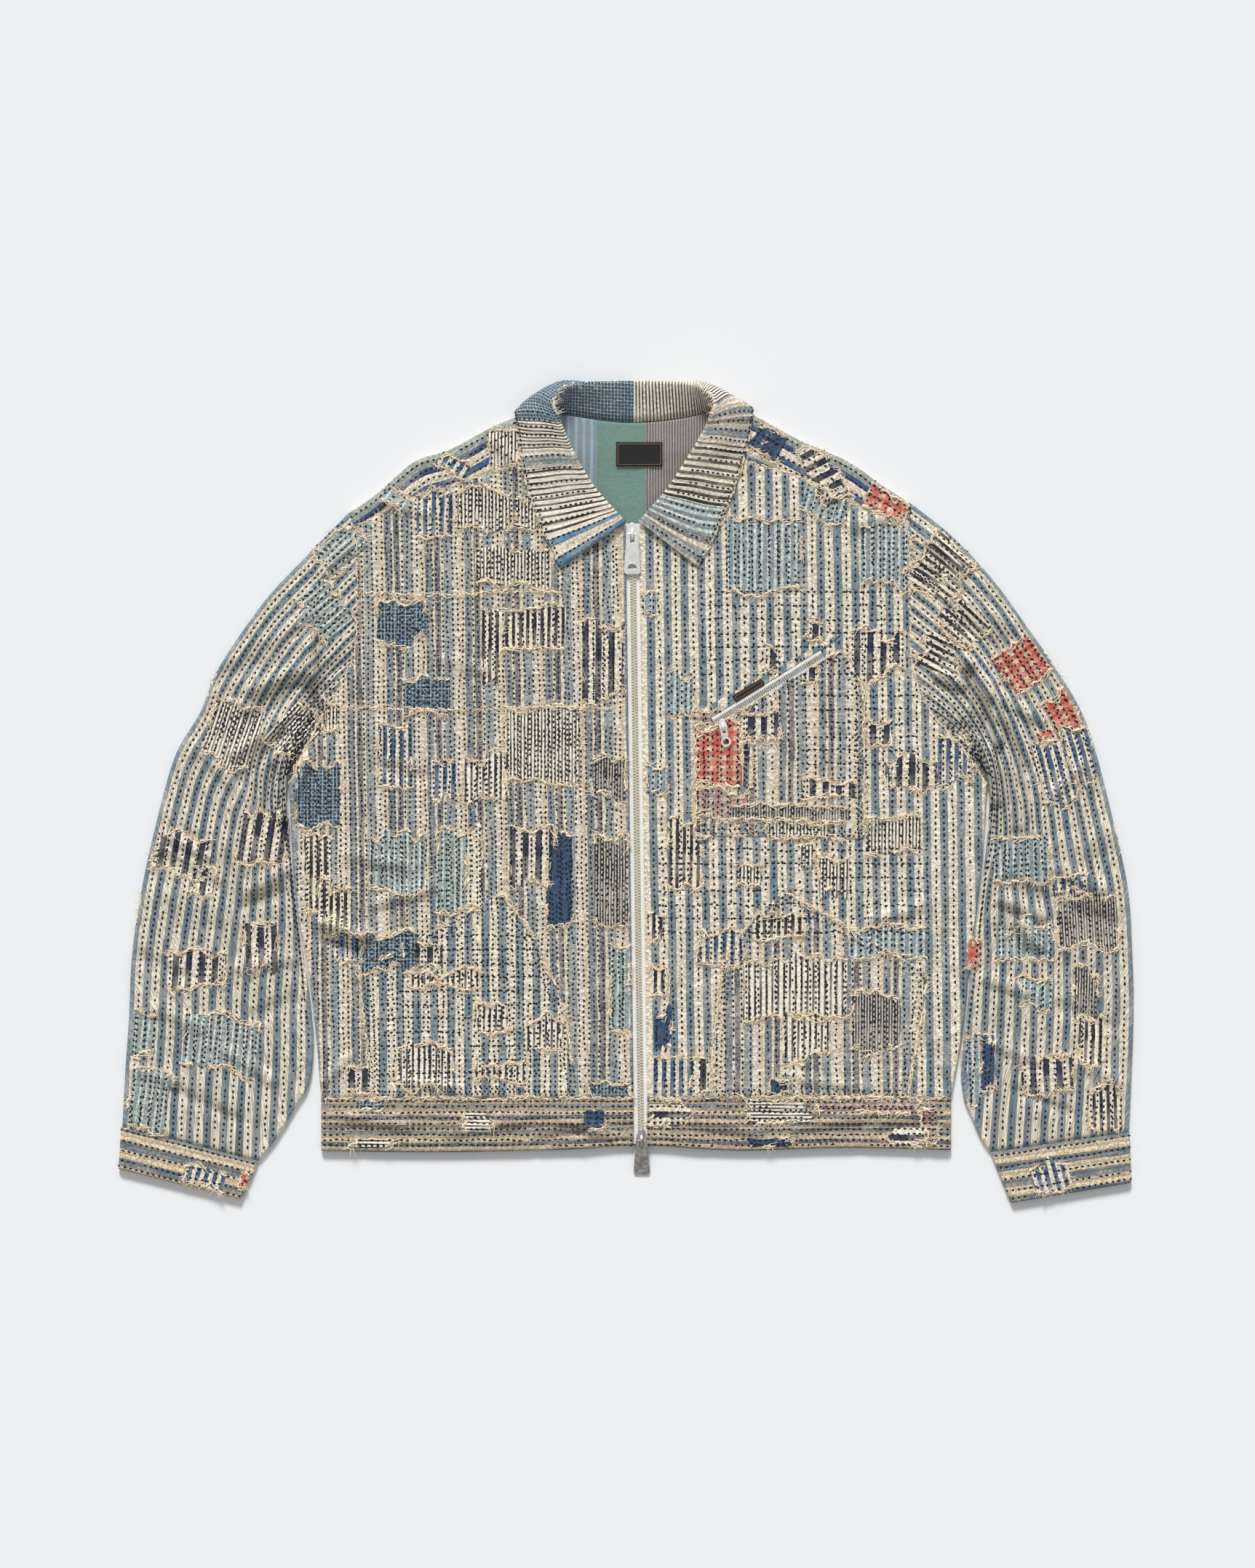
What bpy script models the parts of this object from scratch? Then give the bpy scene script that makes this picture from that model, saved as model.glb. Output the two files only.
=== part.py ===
"""A patched work jacket, zipped up and laid flat on a surface, face up.

+Z is up, +Y points to the collar and +X to the wearer's left sleeve. The origin lies on the
underside of the back panel, on the line of the front zip. Tables and sizes are in millimetres;
MM turns them into metres where a mesh is made. A sheet of cloth is a grid through the middle of
its wall, and a Solidify modifier gives the wall its thickness.
"""
import math

import bmesh
import bpy
import numpy as np

MM = 0.001

# ---------------------------------------------------------------- driving sizes
WALL = 2.0            # body cloth with the patches quilted on to it
POCKET_WALL = 1.5
TAPE_WALL = 0.8
CHAIN_WALL = 1.4
LABEL_WALL = 0.6
GAP = 0.3             # clearance between neighbouring pieces
LOW = WALL / 2        # middle of the layer that rests on the surface
TOP = 5.7             # middle of the layer on top of it
ROLL = (TOP - LOW) / 2
YOKE_SEAM_Y = 165.0   # where the back yoke is sewn to the back
HEM_SEAM_Y = -278.5   # where the waistband is sewn on
ZIP_TOP = (-5.0, 241.0)
ZIP_FOOT = (3.0, -317.0)
ZIP_HALF_OPENING = 6.2
ZIP_TAPE_REACH = 13.0     # from the zip's centre line to the tape's hidden edge
CHAIN_HALF = 3.1
COLLAR_ROLL = 1.7         # radius of the fold along the collar's top
COLLAR_LIFT = 2.4         # how far the neck is raised by the collar tucked under it

# ---------------------------------------------------------------- outlines
# Side edges of the body: height up the body, then the edge on the wearer's right and left.
SIDE = [  # y, x_right, x_left
    (-278.5, -286.5, 283.5),
    (-240.0, -289.5, 290.3),
    (-195.0, -294.0, 296.8),
    (-150.0, -300.5, 300.5),
    (-110.0, -308.0, 306.5),
    (-60.0, -312.5, 312.0),
    (7.0, -315.5, 316.5),
]
# Armholes from the underarm up to the front shoulder seam, then the tip on the shoulder fold.
ARMHOLE_RIGHT = [(-315.5, 7), (-294, 55), (-266, 103), (-256.5, 134), (-254.5, 165),
                 (-255, 203), (-257.7, 240), (-262, 252)]
ARMHOLE_LEFT = [(316.5, 7), (292, 42), (262, 78), (248.5, 116), (246.8, 165),
                (246.8, 200), (246.5, 233), (248.5, 260)]
YOKE_ROW = 4          # the armhole point where the back ends and the yoke begins
# Neck edge from the centre front round the back: the fronts own three spans at each end.
NECK = [(-13, 239), (-45, 253), (-70, 273), (-90, 303), (-94, 325), (-90, 346), (-60, 341),
        (-32, 336.5), (-4, 334.6), (25, 336.5), (52, 341), (82, 350), (88, 325), (84, 303),
        (62, 273), (37, 253), (6, 239)]
FRONT_NECK_SPANS = 3
YOKE_NECK_RIGHT = 5   # the neck point on the right shoulder fold
YOKE_NECK_LEFT = 11
# The shoulder folds and the seams where the yoke meets the fronts, from neck to armhole.
FOLD_RIGHT = [(-90, 346), (-118, 336), (-134, 329), (-172, 309), (-202, 299), (-236, 270), (-262, 252)]
FOLD_LEFT = [(82, 350), (105, 341), (145, 319), (190, 299), (219, 279), (248.5, 260)]
SEAM_RIGHT = [(-90, 303), (-164, 279), (-208, 265), (-257.7, 240)]
SEAM_LEFT = [(84, 303), (130, 291), (171, 275), (210, 254), (229, 248), (246.5, 233)]
SHOULDER_SPANS = 8
# Sleeves: the outer edge from shoulder tip to cuff, and the inner edge from underarm to cuff.
SLEEVE_OUTER_RIGHT = [(-262, 252), (-302, 211), (-339, 171), (-380, 111), (-396, 72), (-419, 32),
                      (-436, -28), (-449, -87), (-458, -147), (-461, -206), (-464, -250), (-467, -304)]
SLEEVE_INNER_RIGHT = [(-321, 11), (-316.4, -60), (-311.3, -110), (-303.8, -150), (-297.5, -195),
                      (-295, -232), (-299, -265), (-311, -286), (-328, -314), (-345, -335)]
SLEEVE_OUTER_LEFT = [(248.5, 260), (286, 230), (323, 190), (352, 150), (379, 111), (402, 72),
                     (416, 32), (431, -28), (444, -87), (448, -147), (449, -206), (445, -309)]
SLEEVE_INNER_LEFT = [(322, 11), (316, -60), (309.8, -110), (303.8, -150), (300.2, -195),
                     (293.8, -240), (296, -275), (304, -296), (312, -314), (321, -327)]
INNER_EASE = 1.7      # the inner edge starts slowly, because the sleeve bends at the underarm
CUFF_RIGHT = [(-468, -304.5), (-345, -335.5), (-360, -370.5), (-470.5, -343)]
CUFF_LEFT = [(445.5, -309.5), (321, -327.5), (339.5, -373.5), (447, -355.5)]
HEM = [(-300, -326), (-180, -327.5), (-60, -325), (0, -321), (90, -326), (190, -323.5), (300, -326)]

# Pockets, convex outlines laid on the fronts.
POCKET_RIGHT = [(-252.5, -163.7), (-241.5, -277.5), (-56, -277.5), (-66, -199), (-93.5, -133), (-123, -92.5)]
POCKET_LEFT = [(133, -91), (104, -116), (76, -157), (68.5, -230), (68.3, -277.5), (244, -277.5),
               (263.5, -172), (259, -162)]
CHEST_PATCH = [(52, 71), (52, -40), (205, -43), (205, 95), (183, 143)]
CHEST_ZIP = ((69.0, 62.7), (168.0, 124.0))
CHEST_TAPE_HALF = 4.4
CHEST_CHAIN_HALF = 2.1
CHEST_TAB = ((87.5, 83.5), (113.5, 99.5), 3.4)      # two ends and half its height
NECK_LABEL = [(-19.5, 295), (22.5, 295), (22.5, 317), (-19.5, 317)]

# Folds of the upper layer: a soft ridge from one place to another.
RIDGES = [  # x0, y0, x1, y1, half width, height
    (-299, 128, -296, 78, 17, 5.0),      # right armpit, sleeve side
    (-318, 50, -352, -62, 22, 3.5),
    (-425, -18, -372, -52, 20, 3.0),     # right elbow
    (-436, -92, -372, -112, 20, 2.5),
    (-405, -185, -376, -282, 24, 2.5),
    (308, 112, 330, 66, 17, 5.5),        # left armpit, sleeve side
    (334, 52, 352, -50, 22, 3.5),
    (368, -62, 424, -38, 20, 3.0),       # left elbow
    (352, -128, 418, -150, 20, 2.5),
    (392, -190, 372, -284, 24, 2.5),
    (-238, 52, -226, -52, 26, 2.2),      # long soft folds below the armholes
    (244, 40, 236, -50, 26, 2.2),
    (284, -8, 268, -96, 22, 2.0),
    (-284, -40, -272, -120, 22, 2.0),
]

# Collar sections: place along the neck edge (its point's number), then the fold, two points
# down the fall and the fall's edge. The leaves lie on the fronts and the back is tucked under.
COLLAR = [  # neck, fold x y z, brow x y z, heel x y z, edge x y z
    (0, (-11.5, 244.5, 9.5), (-31, 230, 10.6), (-51, 216, 9.6), (-70, 202, 8.3)),
    (1, (-24, 258, 11), (-46, 252, 12), (-67, 247, 10.2), (-88, 243, 8.3)),
    (2, (-41, 278, 13), (-62, 276, 14), (-82, 273, 11), (-99, 271, 8.4)),
    (3, (-57, 305, 19), (-75, 305, 19.5), (-92, 304, 14), (-106, 303, 9.0)),
    (4, (-67, 326, 26), (-84, 327, 24), (-99, 328, 17), (-108.5, 330, 9.6)),
    (4.5, (-72.5, 340, 29), (-89, 343, 25), (-103, 344, 17), (-111, 343.4, 9.0)),
    (4.75, (-75.5, 347, 30), (-90, 351, 23), (-103, 352, 12), (-108, 347, 3.0)),
    (5, (-77, 353, 29.5), (-90, 359, 20), (-98, 356, 8), (-98, 344, 1.0)),
    (5.5, (-70, 363, 26), (-79, 368, 14), (-81, 361, 2.6), (-83, 338, 1.0)),
    (6, (-60, 369, 20), (-64, 372, 10), (-63, 360, 1.6), (-66, 326, 1.0)),
    (8, (-4, 371.5, 10), (-4, 364, 3.6), (-4, 350, 1.1), (-4, 322, 1.0)),
    (10, (50, 369, 19), (54, 371, 10), (53, 360, 1.8), (56, 326, 1.0)),
    (10.5, (62, 363, 26), (70, 367, 14), (74, 361, 2.6), (75, 340, 1.0)),
    (11, (70, 351, 29.5), (82, 358, 20), (90, 356, 8), (90.5, 346.5, 1.0)),
    (11.25, (68, 345, 30), (83, 351, 23), (96, 353, 12), (101, 349.5, 3.0)),
    (11.5, (65.5, 339, 29), (81, 342, 25), (94, 344.5, 17), (104.5, 345.4, 9.0)),
    (12, (60, 326, 26), (76, 325, 24), (90, 323.5, 17), (101, 323, 9.6)),
    (13, (46, 303, 19), (63, 301, 19.5), (80, 299, 14), (94.5, 297, 9.0)),
    (14, (29, 277, 13), (50, 274, 14), (69, 270, 11), (85, 268, 8.4)),
    (15, (13.5, 258.5, 11), (34, 250, 12), (55, 243, 10.2), (74, 240, 8.3)),
    (16, (1.5, 245, 9.5), (19, 231, 10.6), (37, 217, 9.6), (55, 203.3, 8.3)),
]

# Zip hardware.
SLIDER_HALF = 4.1
SLIDER_PLATE = 1.2
AXLE_RISE = 1.7       # the pull's axle above the slider's plate
AXLE_HALF = 0.5
PULL_WALL = 1.6
PULL_SLOT_HALF = 2.3
PULL_HEAD = 1.0       # metal above the slot
CHAIN_TOP = TOP - 1.0 + CHAIN_WALL
CHEST_HARDWARE = 0.72     # the chest zip is a size smaller


# ---------------------------------------------------------------- the scene and its materials
for old in list(bpy.data.objects):
    bpy.data.objects.remove(old)

FINISHES = {  # colour, roughness, metallic
    "striped cloth": ((0.60, 0.54, 0.44), 0.9, 0.0),
    "worn striped cloth": ((0.47, 0.44, 0.40), 0.95, 0.0),
    "inner cloth": ((0.30, 0.40, 0.38), 0.9, 0.0),
    "pocket cloth": ((0.52, 0.50, 0.45), 0.9, 0.0),
    "zip tape": ((0.85, 0.84, 0.80), 0.8, 0.0),
    "silver teeth": ((0.78, 0.77, 0.74), 0.35, 1.0),
    "bright metal": ((0.80, 0.80, 0.79), 0.25, 1.0),
    "aged nickel": ((0.40, 0.38, 0.36), 0.35, 1.0),
    "black label": ((0.03, 0.03, 0.03), 0.7, 0.0),
}


def finish(node, name):
    """A material of the node's own, with the finish's colour, roughness and metallic value."""
    colour, roughness, metallic = FINISHES[name]
    material = bpy.data.materials.new(f"{name} of {node}")
    material.use_nodes = True
    shader = material.node_tree.nodes["Principled BSDF"]
    shader.inputs["Base Color"].default_value = (*colour, 1.0)
    shader.inputs["Roughness"].default_value = roughness
    shader.inputs["Metallic"].default_value = metallic
    return material


def add_object(node, mesh, name):
    """Link a mesh to the scene as a node with its finish."""
    thing = bpy.data.objects.new(node, mesh)
    bpy.context.scene.collection.objects.link(thing)
    mesh.materials.append(finish(node, name))
    return thing


# ---------------------------------------------------------------- curves and heights
def unit(vector):
    return vector / np.linalg.norm(vector)


def resample(points, shares):
    """Places along a line of straight spans, at the given shares of its length."""
    points = np.array(points, float)
    travelled = np.concatenate([[0], np.cumsum(np.linalg.norm(np.diff(points, axis=0), axis=1))])
    places = np.array(shares) * travelled[-1]
    return np.stack([np.interp(places, travelled, column) for column in points.T], axis=1)


def smooth_line(points, shares, steps=8):
    """Places along a smooth curve through the points (Catmull-Rom), at shares of its length."""
    points = np.array(points, float)
    padded = np.vstack([2 * points[0] - points[1], points, 2 * points[-1] - points[-2]])
    fine = [points[0]]
    for k in range(len(points) - 1):
        a, b, c, d = padded[k:k + 4]
        for step in range(1, steps + 1):
            t = step / steps
            fine.append(0.5 * (2 * b + (c - a) * t + (2 * a - 5 * b + 4 * c - d) * t ** 2
                               + (3 * b - a - 3 * c + d) * t ** 3))
    return resample(fine, shares)


def smooth_value(places, rows, place):
    """Catmull-Rom through rows that stand at uneven places."""
    k = int(np.clip(np.searchsorted(places, place, side="right") - 1, 0, len(places) - 2))
    p0, p1 = places[k], places[k + 1]
    t = (place - p0) / (p1 - p0)
    before = rows[max(k - 1, 0)]
    after = rows[min(k + 2, len(rows) - 1)]
    slope0 = (rows[k + 1] - before) / (p1 - places[max(k - 1, 0)]) * (p1 - p0)
    slope1 = (after - rows[k]) / (places[min(k + 2, len(rows) - 1)] - p0) * (p1 - p0)
    return ((2 * t ** 3 - 3 * t ** 2 + 1) * rows[k] + (t ** 3 - 2 * t ** 2 + t) * slope0
            + (3 * t ** 2 - 2 * t ** 3) * rows[k + 1] + (t ** 3 - t ** 2) * slope1)


def neck_lift(x, y):
    """The neck is raised where the tucked part of the collar lies under it."""
    forward = np.clip((y - 285) / 25, 0, 1)
    inward = np.clip((116 - abs(x)) / 16, 0, 1)
    return COLLAR_LIFT * forward * inward


def ridge_height(x, y):
    total = 0.0
    here = np.array([x, y], float)
    for x0, y0, x1, y1, half_width, height in RIDGES:
        start, end = np.array([x0, y0], float), np.array([x1, y1], float)
        along = np.clip(np.dot(here - start, end - start) / np.dot(end - start, end - start), 0, 1)
        distance = np.linalg.norm(here - start - along * (end - start))
        if distance < half_width:
            total += height * (0.5 + 0.5 * math.cos(math.pi * distance / half_width))
    return total


def upper(x, y):
    return TOP + neck_lift(x, y) + ridge_height(x, y)


def lower(x, y):
    return LOW + neck_lift(x, y)


def on_top(place):
    return np.array([place[0], place[1], upper(*place)])


def below(place):
    return np.array([place[0], place[1], lower(*place)])


def roll(edge, outward, spans=4):
    """A half turn from the lower layer to the upper one, outermost at the edge."""
    edge = np.array(edge, float)
    centre = edge - ROLL * outward
    z_low, z_high = lower(*centre), upper(*centre)
    middle, reach = (z_low + z_high) / 2, (z_high - z_low) / 2
    points = []
    for k in range(spans + 1):
        angle = math.pi * (k / spans - 0.5)
        place = centre + ROLL * math.cos(angle) * outward
        points.append(np.array([place[0], place[1], middle + reach * math.sin(angle)]))
    return points


def zip_x(y):
    """The zip's centre line leans a little."""
    share = (ZIP_TOP[1] - y) / (ZIP_TOP[1] - ZIP_FOOT[1])
    return ZIP_TOP[0] + share * (ZIP_FOOT[0] - ZIP_TOP[0])


# ---------------------------------------------------------------- making sheets
def face_up(shape):
    """Make the faces of an open sheet agree, looking up."""
    bmesh.ops.recalc_face_normals(shape, faces=shape.faces[:])
    if sum(face.normal.z for face in shape.faces) < 0:
        bmesh.ops.reverse_faces(shape, faces=shape.faces[:])


def grid_mesh(node, rows, closed=False):
    """Quads between rows of points, split into triangles; a None leaves its cells out."""
    shape = bmesh.new()
    made = [[None if p is None else shape.verts.new(np.array(p) * MM) for p in row] for row in rows]
    for lower_row, upper_row in zip(made, made[1:]):
        spans = len(lower_row) if closed else len(lower_row) - 1
        for i in range(spans):
            j = (i + 1) % len(lower_row)
            corners = [lower_row[i], lower_row[j], upper_row[j], upper_row[i]]
            if None not in corners:
                shape.faces.new(corners)
    loose = [v for v in shape.verts if not v.link_faces]
    bmesh.ops.delete(shape, geom=loose, context="VERTS")
    bmesh.ops.triangulate(shape, faces=shape.faces[:])
    face_up(shape)
    mesh = bpy.data.meshes.new(node)
    shape.to_mesh(mesh)
    shape.free()
    return mesh


def thicken(thing, wall, side):
    """Give a sheet its wall: side 0 keeps the sheet in the middle, 1 puts it underneath."""
    solid = thing.modifiers.new("wall", "SOLIDIFY")
    solid.thickness = wall * MM
    solid.offset = side
    thing.data.shade_smooth()
    return thing


def cloth(node, rows, name, wall=WALL, closed=False):
    return thicken(add_object(node, grid_mesh(node, rows, closed), name), wall, 0)


def lay_on(node, carrier, outline, rise, wall, name):
    """Cut a piece out of the carrier's own facets and lay it above them."""
    shape = bmesh.new()
    shape.from_mesh(carrier.data)
    shape.normal_update()
    for vert in shape.verts:
        facing = 1 if vert.normal.z > 0 else -1
        vert.co += vert.normal * facing * rise * MM
    outline = np.array(outline, float) * MM
    middle = outline.mean(axis=0)
    for start, end in zip(outline, np.roll(outline, -1, axis=0)):
        across = np.array([end[1] - start[1], start[0] - end[0]])
        if np.dot(across, middle - start) > 0:
            across = -across
        bmesh.ops.bisect_plane(shape, geom=shape.verts[:] + shape.edges[:] + shape.faces[:],
                               dist=1e-6, plane_co=(*start, 0), plane_no=(*unit(across), 0),
                               clear_outer=True)
    bmesh.ops.triangulate(shape, faces=shape.faces[:])
    face_up(shape)
    mesh = bpy.data.meshes.new(node)
    shape.to_mesh(mesh)
    shape.free()
    return thicken(add_object(node, mesh, name), wall, 1)


def strip(start, end, half_width):
    """The four corners of a strip along a line."""
    start, end = np.array(start, float), np.array(end, float)
    along = unit(end - start)
    across = np.array([-along[1], along[0]]) * half_width
    return [start - across, end - across, end + across, start + across]


# ---------------------------------------------------------------- body
BACK_SPANS = 12


def curl(edge, inward, upper_layer, curled):
    """The last three points of a row: a quarter turn at the side fold, or flat at the armhole."""
    edge = np.array(edge, float)
    if not curled:
        flat = [edge + inward * ROLL, edge + inward * ROLL * 0.4, edge]
        return [on_top(p) if upper_layer else below(p) for p in flat]
    turn = roll(edge, -inward, spans=32)
    if upper_layer:
        return [turn[32], turn[24], turn[19]]
    return [turn[0], turn[8], turn[13]]


def front_rows(side_edge, armhole, neck, seam, zip_side):
    """One front: rows from the hem up, columns from the zip to the side."""
    side = np.vstack([side_edge, armhole[1:-1]])
    underarm = len(side_edge) - 1
    climb = (side[:, 1] - HEM_SEAM_Y) / (side[-1, 1] - HEM_SEAM_Y)
    centre_y = HEM_SEAM_Y + climb * (neck[0][1] - HEM_SEAM_Y)
    centre = np.array([(zip_x(y) + zip_side * ZIP_HALF_OPENING, y) for y in centre_y])
    top = np.vstack([neck, resample(seam, np.linspace(0, 1, SHOULDER_SPANS + 1))[1:]])
    centre[-1] = top[0]
    columns = len(top) - 1
    inset = side.copy()
    inset[:, 0] -= zip_side * ROLL
    top[-1] = inset[-1]
    rows = []
    for j in range(len(side)):
        v = climb[j]
        row = []
        for i in range(columns):
            u = i / columns
            hem = centre[0] * (1 - u) + inset[0] * u
            coons = ((1 - v) * hem + v * top[i] + (1 - u) * centre[j] + u * inset[j]
                     - (1 - u) * ((1 - v) * centre[0] + v * centre[-1])
                     - u * ((1 - v) * inset[0] + v * inset[-1]))
            row.append(on_top(coons))
        inward = np.array([-zip_side, 0.0])
        row += curl(side[j], inward, True, j <= underarm)
        rows.append(row)
    return rows


def back_rows(edge_right, edge_left):
    """The back: rows from the hem up to the yoke seam, columns from right to left."""
    underarm = len(edge_right) - 1
    right = np.vstack([edge_right, ARMHOLE_RIGHT[1:YOKE_ROW + 1]])
    left = np.vstack([edge_left, ARMHOLE_LEFT[1:YOKE_ROW + 1]])
    rows = []
    for j, (a, b) in enumerate(zip(right, left)):
        curled = j <= underarm
        turn_right = curl(a, np.array([1.0, 0.0]), False, curled)[::-1]
        turn_left = curl(b, np.array([-1.0, 0.0]), False, curled)
        shares = np.linspace(0, 1, BACK_SPANS + 1)[1:-1]
        middle = [turn_right[-1] * (1 - t) + turn_left[0] * t for t in shares]
        rows.append(turn_right + [below(p[:2]) for p in middle] + turn_left)
    return rows


edge_right = np.array([(row[1], row[0]) for row in SIDE])
edge_left = np.array([(row[2], row[0]) for row in SIDE])
cloth("back", back_rows(edge_right, edge_left), "inner cloth")
front_right = cloth("front_right",
                    front_rows(edge_right, ARMHOLE_RIGHT, NECK[:FRONT_NECK_SPANS + 1], SEAM_RIGHT, -1),
                    "worn striped cloth")
front_left = cloth("front_left",
                   front_rows(edge_left, ARMHOLE_LEFT, NECK[:-FRONT_NECK_SPANS - 2:-1], SEAM_LEFT, 1),
                   "striped cloth")


# ---------------------------------------------------------------- yoke
YOKE_STEPS = (0, 0.33, 0.66, 0.84)     # rows between the back seam and the neck or shoulder fold


def wing(armhole, fold, seam, neck_corner, neck_middle):
    """The yoke over one shoulder: a column for each span, from the back seam over to the front."""
    shares = np.linspace(0, 1, SHOULDER_SPANS + 1)
    fold, seam = resample(fold, shares), resample(seam, shares)
    seam_foot, bend, seam_head = np.array(armhole[YOKE_ROW:YOKE_ROW + 3], float)
    seam_foot = seam_foot + np.array([0, GAP])
    armhole_way = np.array([seam_foot, (seam_foot + bend) / 2, bend, seam_head])
    columns = []
    for k, share in enumerate(shares):
        back = np.array([neck_corner[0] * (1 - share) + seam_foot[0] * share, seam_foot[1]])
        straight = np.array([back + (fold[k] - back) * t for t in YOKE_STEPS])
        pull = share ** 3
        way = straight * (1 - pull) + armhole_way * pull
        ahead = unit(fold[k] - way[-1]) * share + np.array([0.0, 1.0]) * (1 - share)
        turn = roll(fold[k], unit(ahead))
        landing = seam[k] + np.array([0, GAP])
        halfway = (turn[-1][:2] + landing) / 2 if k else np.array(neck_middle, float)
        columns.append([below(p) for p in way] + turn + [on_top(halfway), on_top(landing)])
    return columns


def yoke_rows():
    right = wing(ARMHOLE_RIGHT, FOLD_RIGHT, SEAM_RIGHT, NECK[YOKE_NECK_RIGHT], NECK[4])
    left = wing(ARMHOLE_LEFT, FOLD_LEFT, SEAM_LEFT, NECK[YOKE_NECK_LEFT], NECK[12])
    middle = []
    for x, y in NECK[YOKE_NECK_RIGHT + 1:YOKE_NECK_LEFT]:
        reach = y - YOKE_SEAM_Y - GAP
        column = [below((x, YOKE_SEAM_Y + GAP + reach * t)) for t in (*YOKE_STEPS, 1)]
        middle.append(column + [None] * (len(right[0]) - len(column)))
    return right[::-1] + middle + left


yoke = cloth("yoke", yoke_rows(), "striped cloth")


# ---------------------------------------------------------------- sleeves and cuffs
SLEEVE_RINGS = 12
ARMHOLE_GAP = 0.4         # along the seam from the shoulder down
UNDERARM_EASE = 2.4       # added where the front turns down at the underarm
BEND_FADE = 0.35          # share of the sleeve over which the armhole's curve fades out


def sleeve_rows(armhole, outer, inner):
    """A flattened tube: each ring goes along the top, round the inner fold and back underneath."""
    armhole = np.array(armhole[::-1], float)      # from the shoulder tip down to the underarm
    away = -1.0 if armhole[0][0] < 0 else 1.0
    tangent = np.gradient(armhole, axis=0)
    normal = np.stack([tangent[:, 1], -tangent[:, 0]], axis=1)
    normal /= np.linalg.norm(normal, axis=1)[:, None]
    normal *= np.where(normal[:, :1] * away < 0, -1.0, 1.0)
    nearing = np.linspace(0, 1, len(armhole))
    opening = ARMHOLE_GAP + UNDERARM_EASE * nearing ** 8
    seam = armhole + normal * opening[:, None]
    seam[-1] = inner[0]
    lengths = np.concatenate([[0], np.cumsum(np.linalg.norm(np.diff(seam, axis=0), axis=1))])
    shares = lengths / lengths[-1]
    steps = np.linspace(0, 1, SLEEVE_RINGS + 1)
    outer_line = smooth_line(outer, steps)
    outer_line[0] = seam[0]
    inner_line = smooth_line(inner, steps ** INNER_EASE)
    bulge = seam - (seam[:1] * (1 - shares[:, None]) + seam[-1:] * shares[:, None])
    rows = []
    for step, a, b in zip(steps, outer_line, inner_line):
        fade = max(0.0, 1 - step / BEND_FADE) ** 2
        line = a * (1 - shares[:, None]) + b * shares[:, None] + bulge * fade
        rows.append(flat_ring(line))
    return rows


def flat_ring(line):
    """A ring round a flattened tube, over a line from its outer fold to its inner one."""
    outward_a = unit(line[0] - line[1])
    outward_b = unit(line[-1] - line[-2])
    outer_turn = roll(line[0], outward_a)
    inner_turn = roll(line[-1], outward_b)[::-1]
    top = [on_top(p) for p in line[1:-1]]
    bottom = [below(p) for p in line[1:-1]][::-1]
    return outer_turn + top + inner_turn + bottom


def cuff_rows(corners):
    outer, inner, inner_foot, outer_foot = [np.array(c, float) for c in corners]
    shares = np.linspace(0, 1, 7)[:, None]
    rows = []
    for t in (0, 0.5, 1):
        a, b = outer * (1 - t) + outer_foot * t, inner * (1 - t) + inner_foot * t
        rows.append(flat_ring(a * (1 - shares) + b * shares))
    return rows


cloth("sleeve_right", sleeve_rows(ARMHOLE_RIGHT, SLEEVE_OUTER_RIGHT, SLEEVE_INNER_RIGHT),
      "striped cloth", closed=True)
cloth("sleeve_left", sleeve_rows(ARMHOLE_LEFT, SLEEVE_OUTER_LEFT, SLEEVE_INNER_LEFT),
      "striped cloth", closed=True)
cloth("cuff_right", cuff_rows(CUFF_RIGHT), "striped cloth", closed=True)
cloth("cuff_left", cuff_rows(CUFF_LEFT), "striped cloth", closed=True)


# ---------------------------------------------------------------- waistband
def waistband_rows():
    """One band from the zip round the right side, along the back and round to the zip."""
    top_y = HEM_SEAM_Y - GAP
    hem_x, hem_y = np.array(HEM, float).T
    right_x, left_x = SIDE[0][1], SIDE[0][2]
    rows = []
    for t in (0, 0.5, 1):
        def place(x):
            return np.array([x, top_y * (1 - t) + np.interp(x, hem_x, hem_y) * t])
        opening = zip_x(HEM_SEAM_Y)
        near_right = np.linspace(opening - ZIP_HALF_OPENING, right_x + ROLL, 9)
        near_left = np.linspace(left_x - ROLL, opening + ZIP_HALF_OPENING, 9)
        under = np.linspace(right_x + ROLL, left_x - ROLL, 13)
        row = [on_top(place(x)) for x in near_right[:-1]]
        row += roll(place(right_x), np.array([-1.0, 0.0]))[::-1]
        row += [below(place(x)) for x in under[1:-1]]
        row += roll(place(left_x), np.array([1.0, 0.0]))
        row += [on_top(place(x)) for x in near_left[1:]]
        rows.append(row)
    return rows


cloth("waistband", waistband_rows(), "worn striped cloth")


# ---------------------------------------------------------------- collar
COLLAR_SEAM_GAP = 1.5     # the stand starts just inside the neck edge
COLLAR_CORNER_GAP = 3.0   # and clear of the yoke's fold, where it stands upright
COLLAR_CORNER_SPANS = (4, 11)     # the neck spans where the collar turns down to the back
COLLAR_CORNER_PARTS = 4


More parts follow.
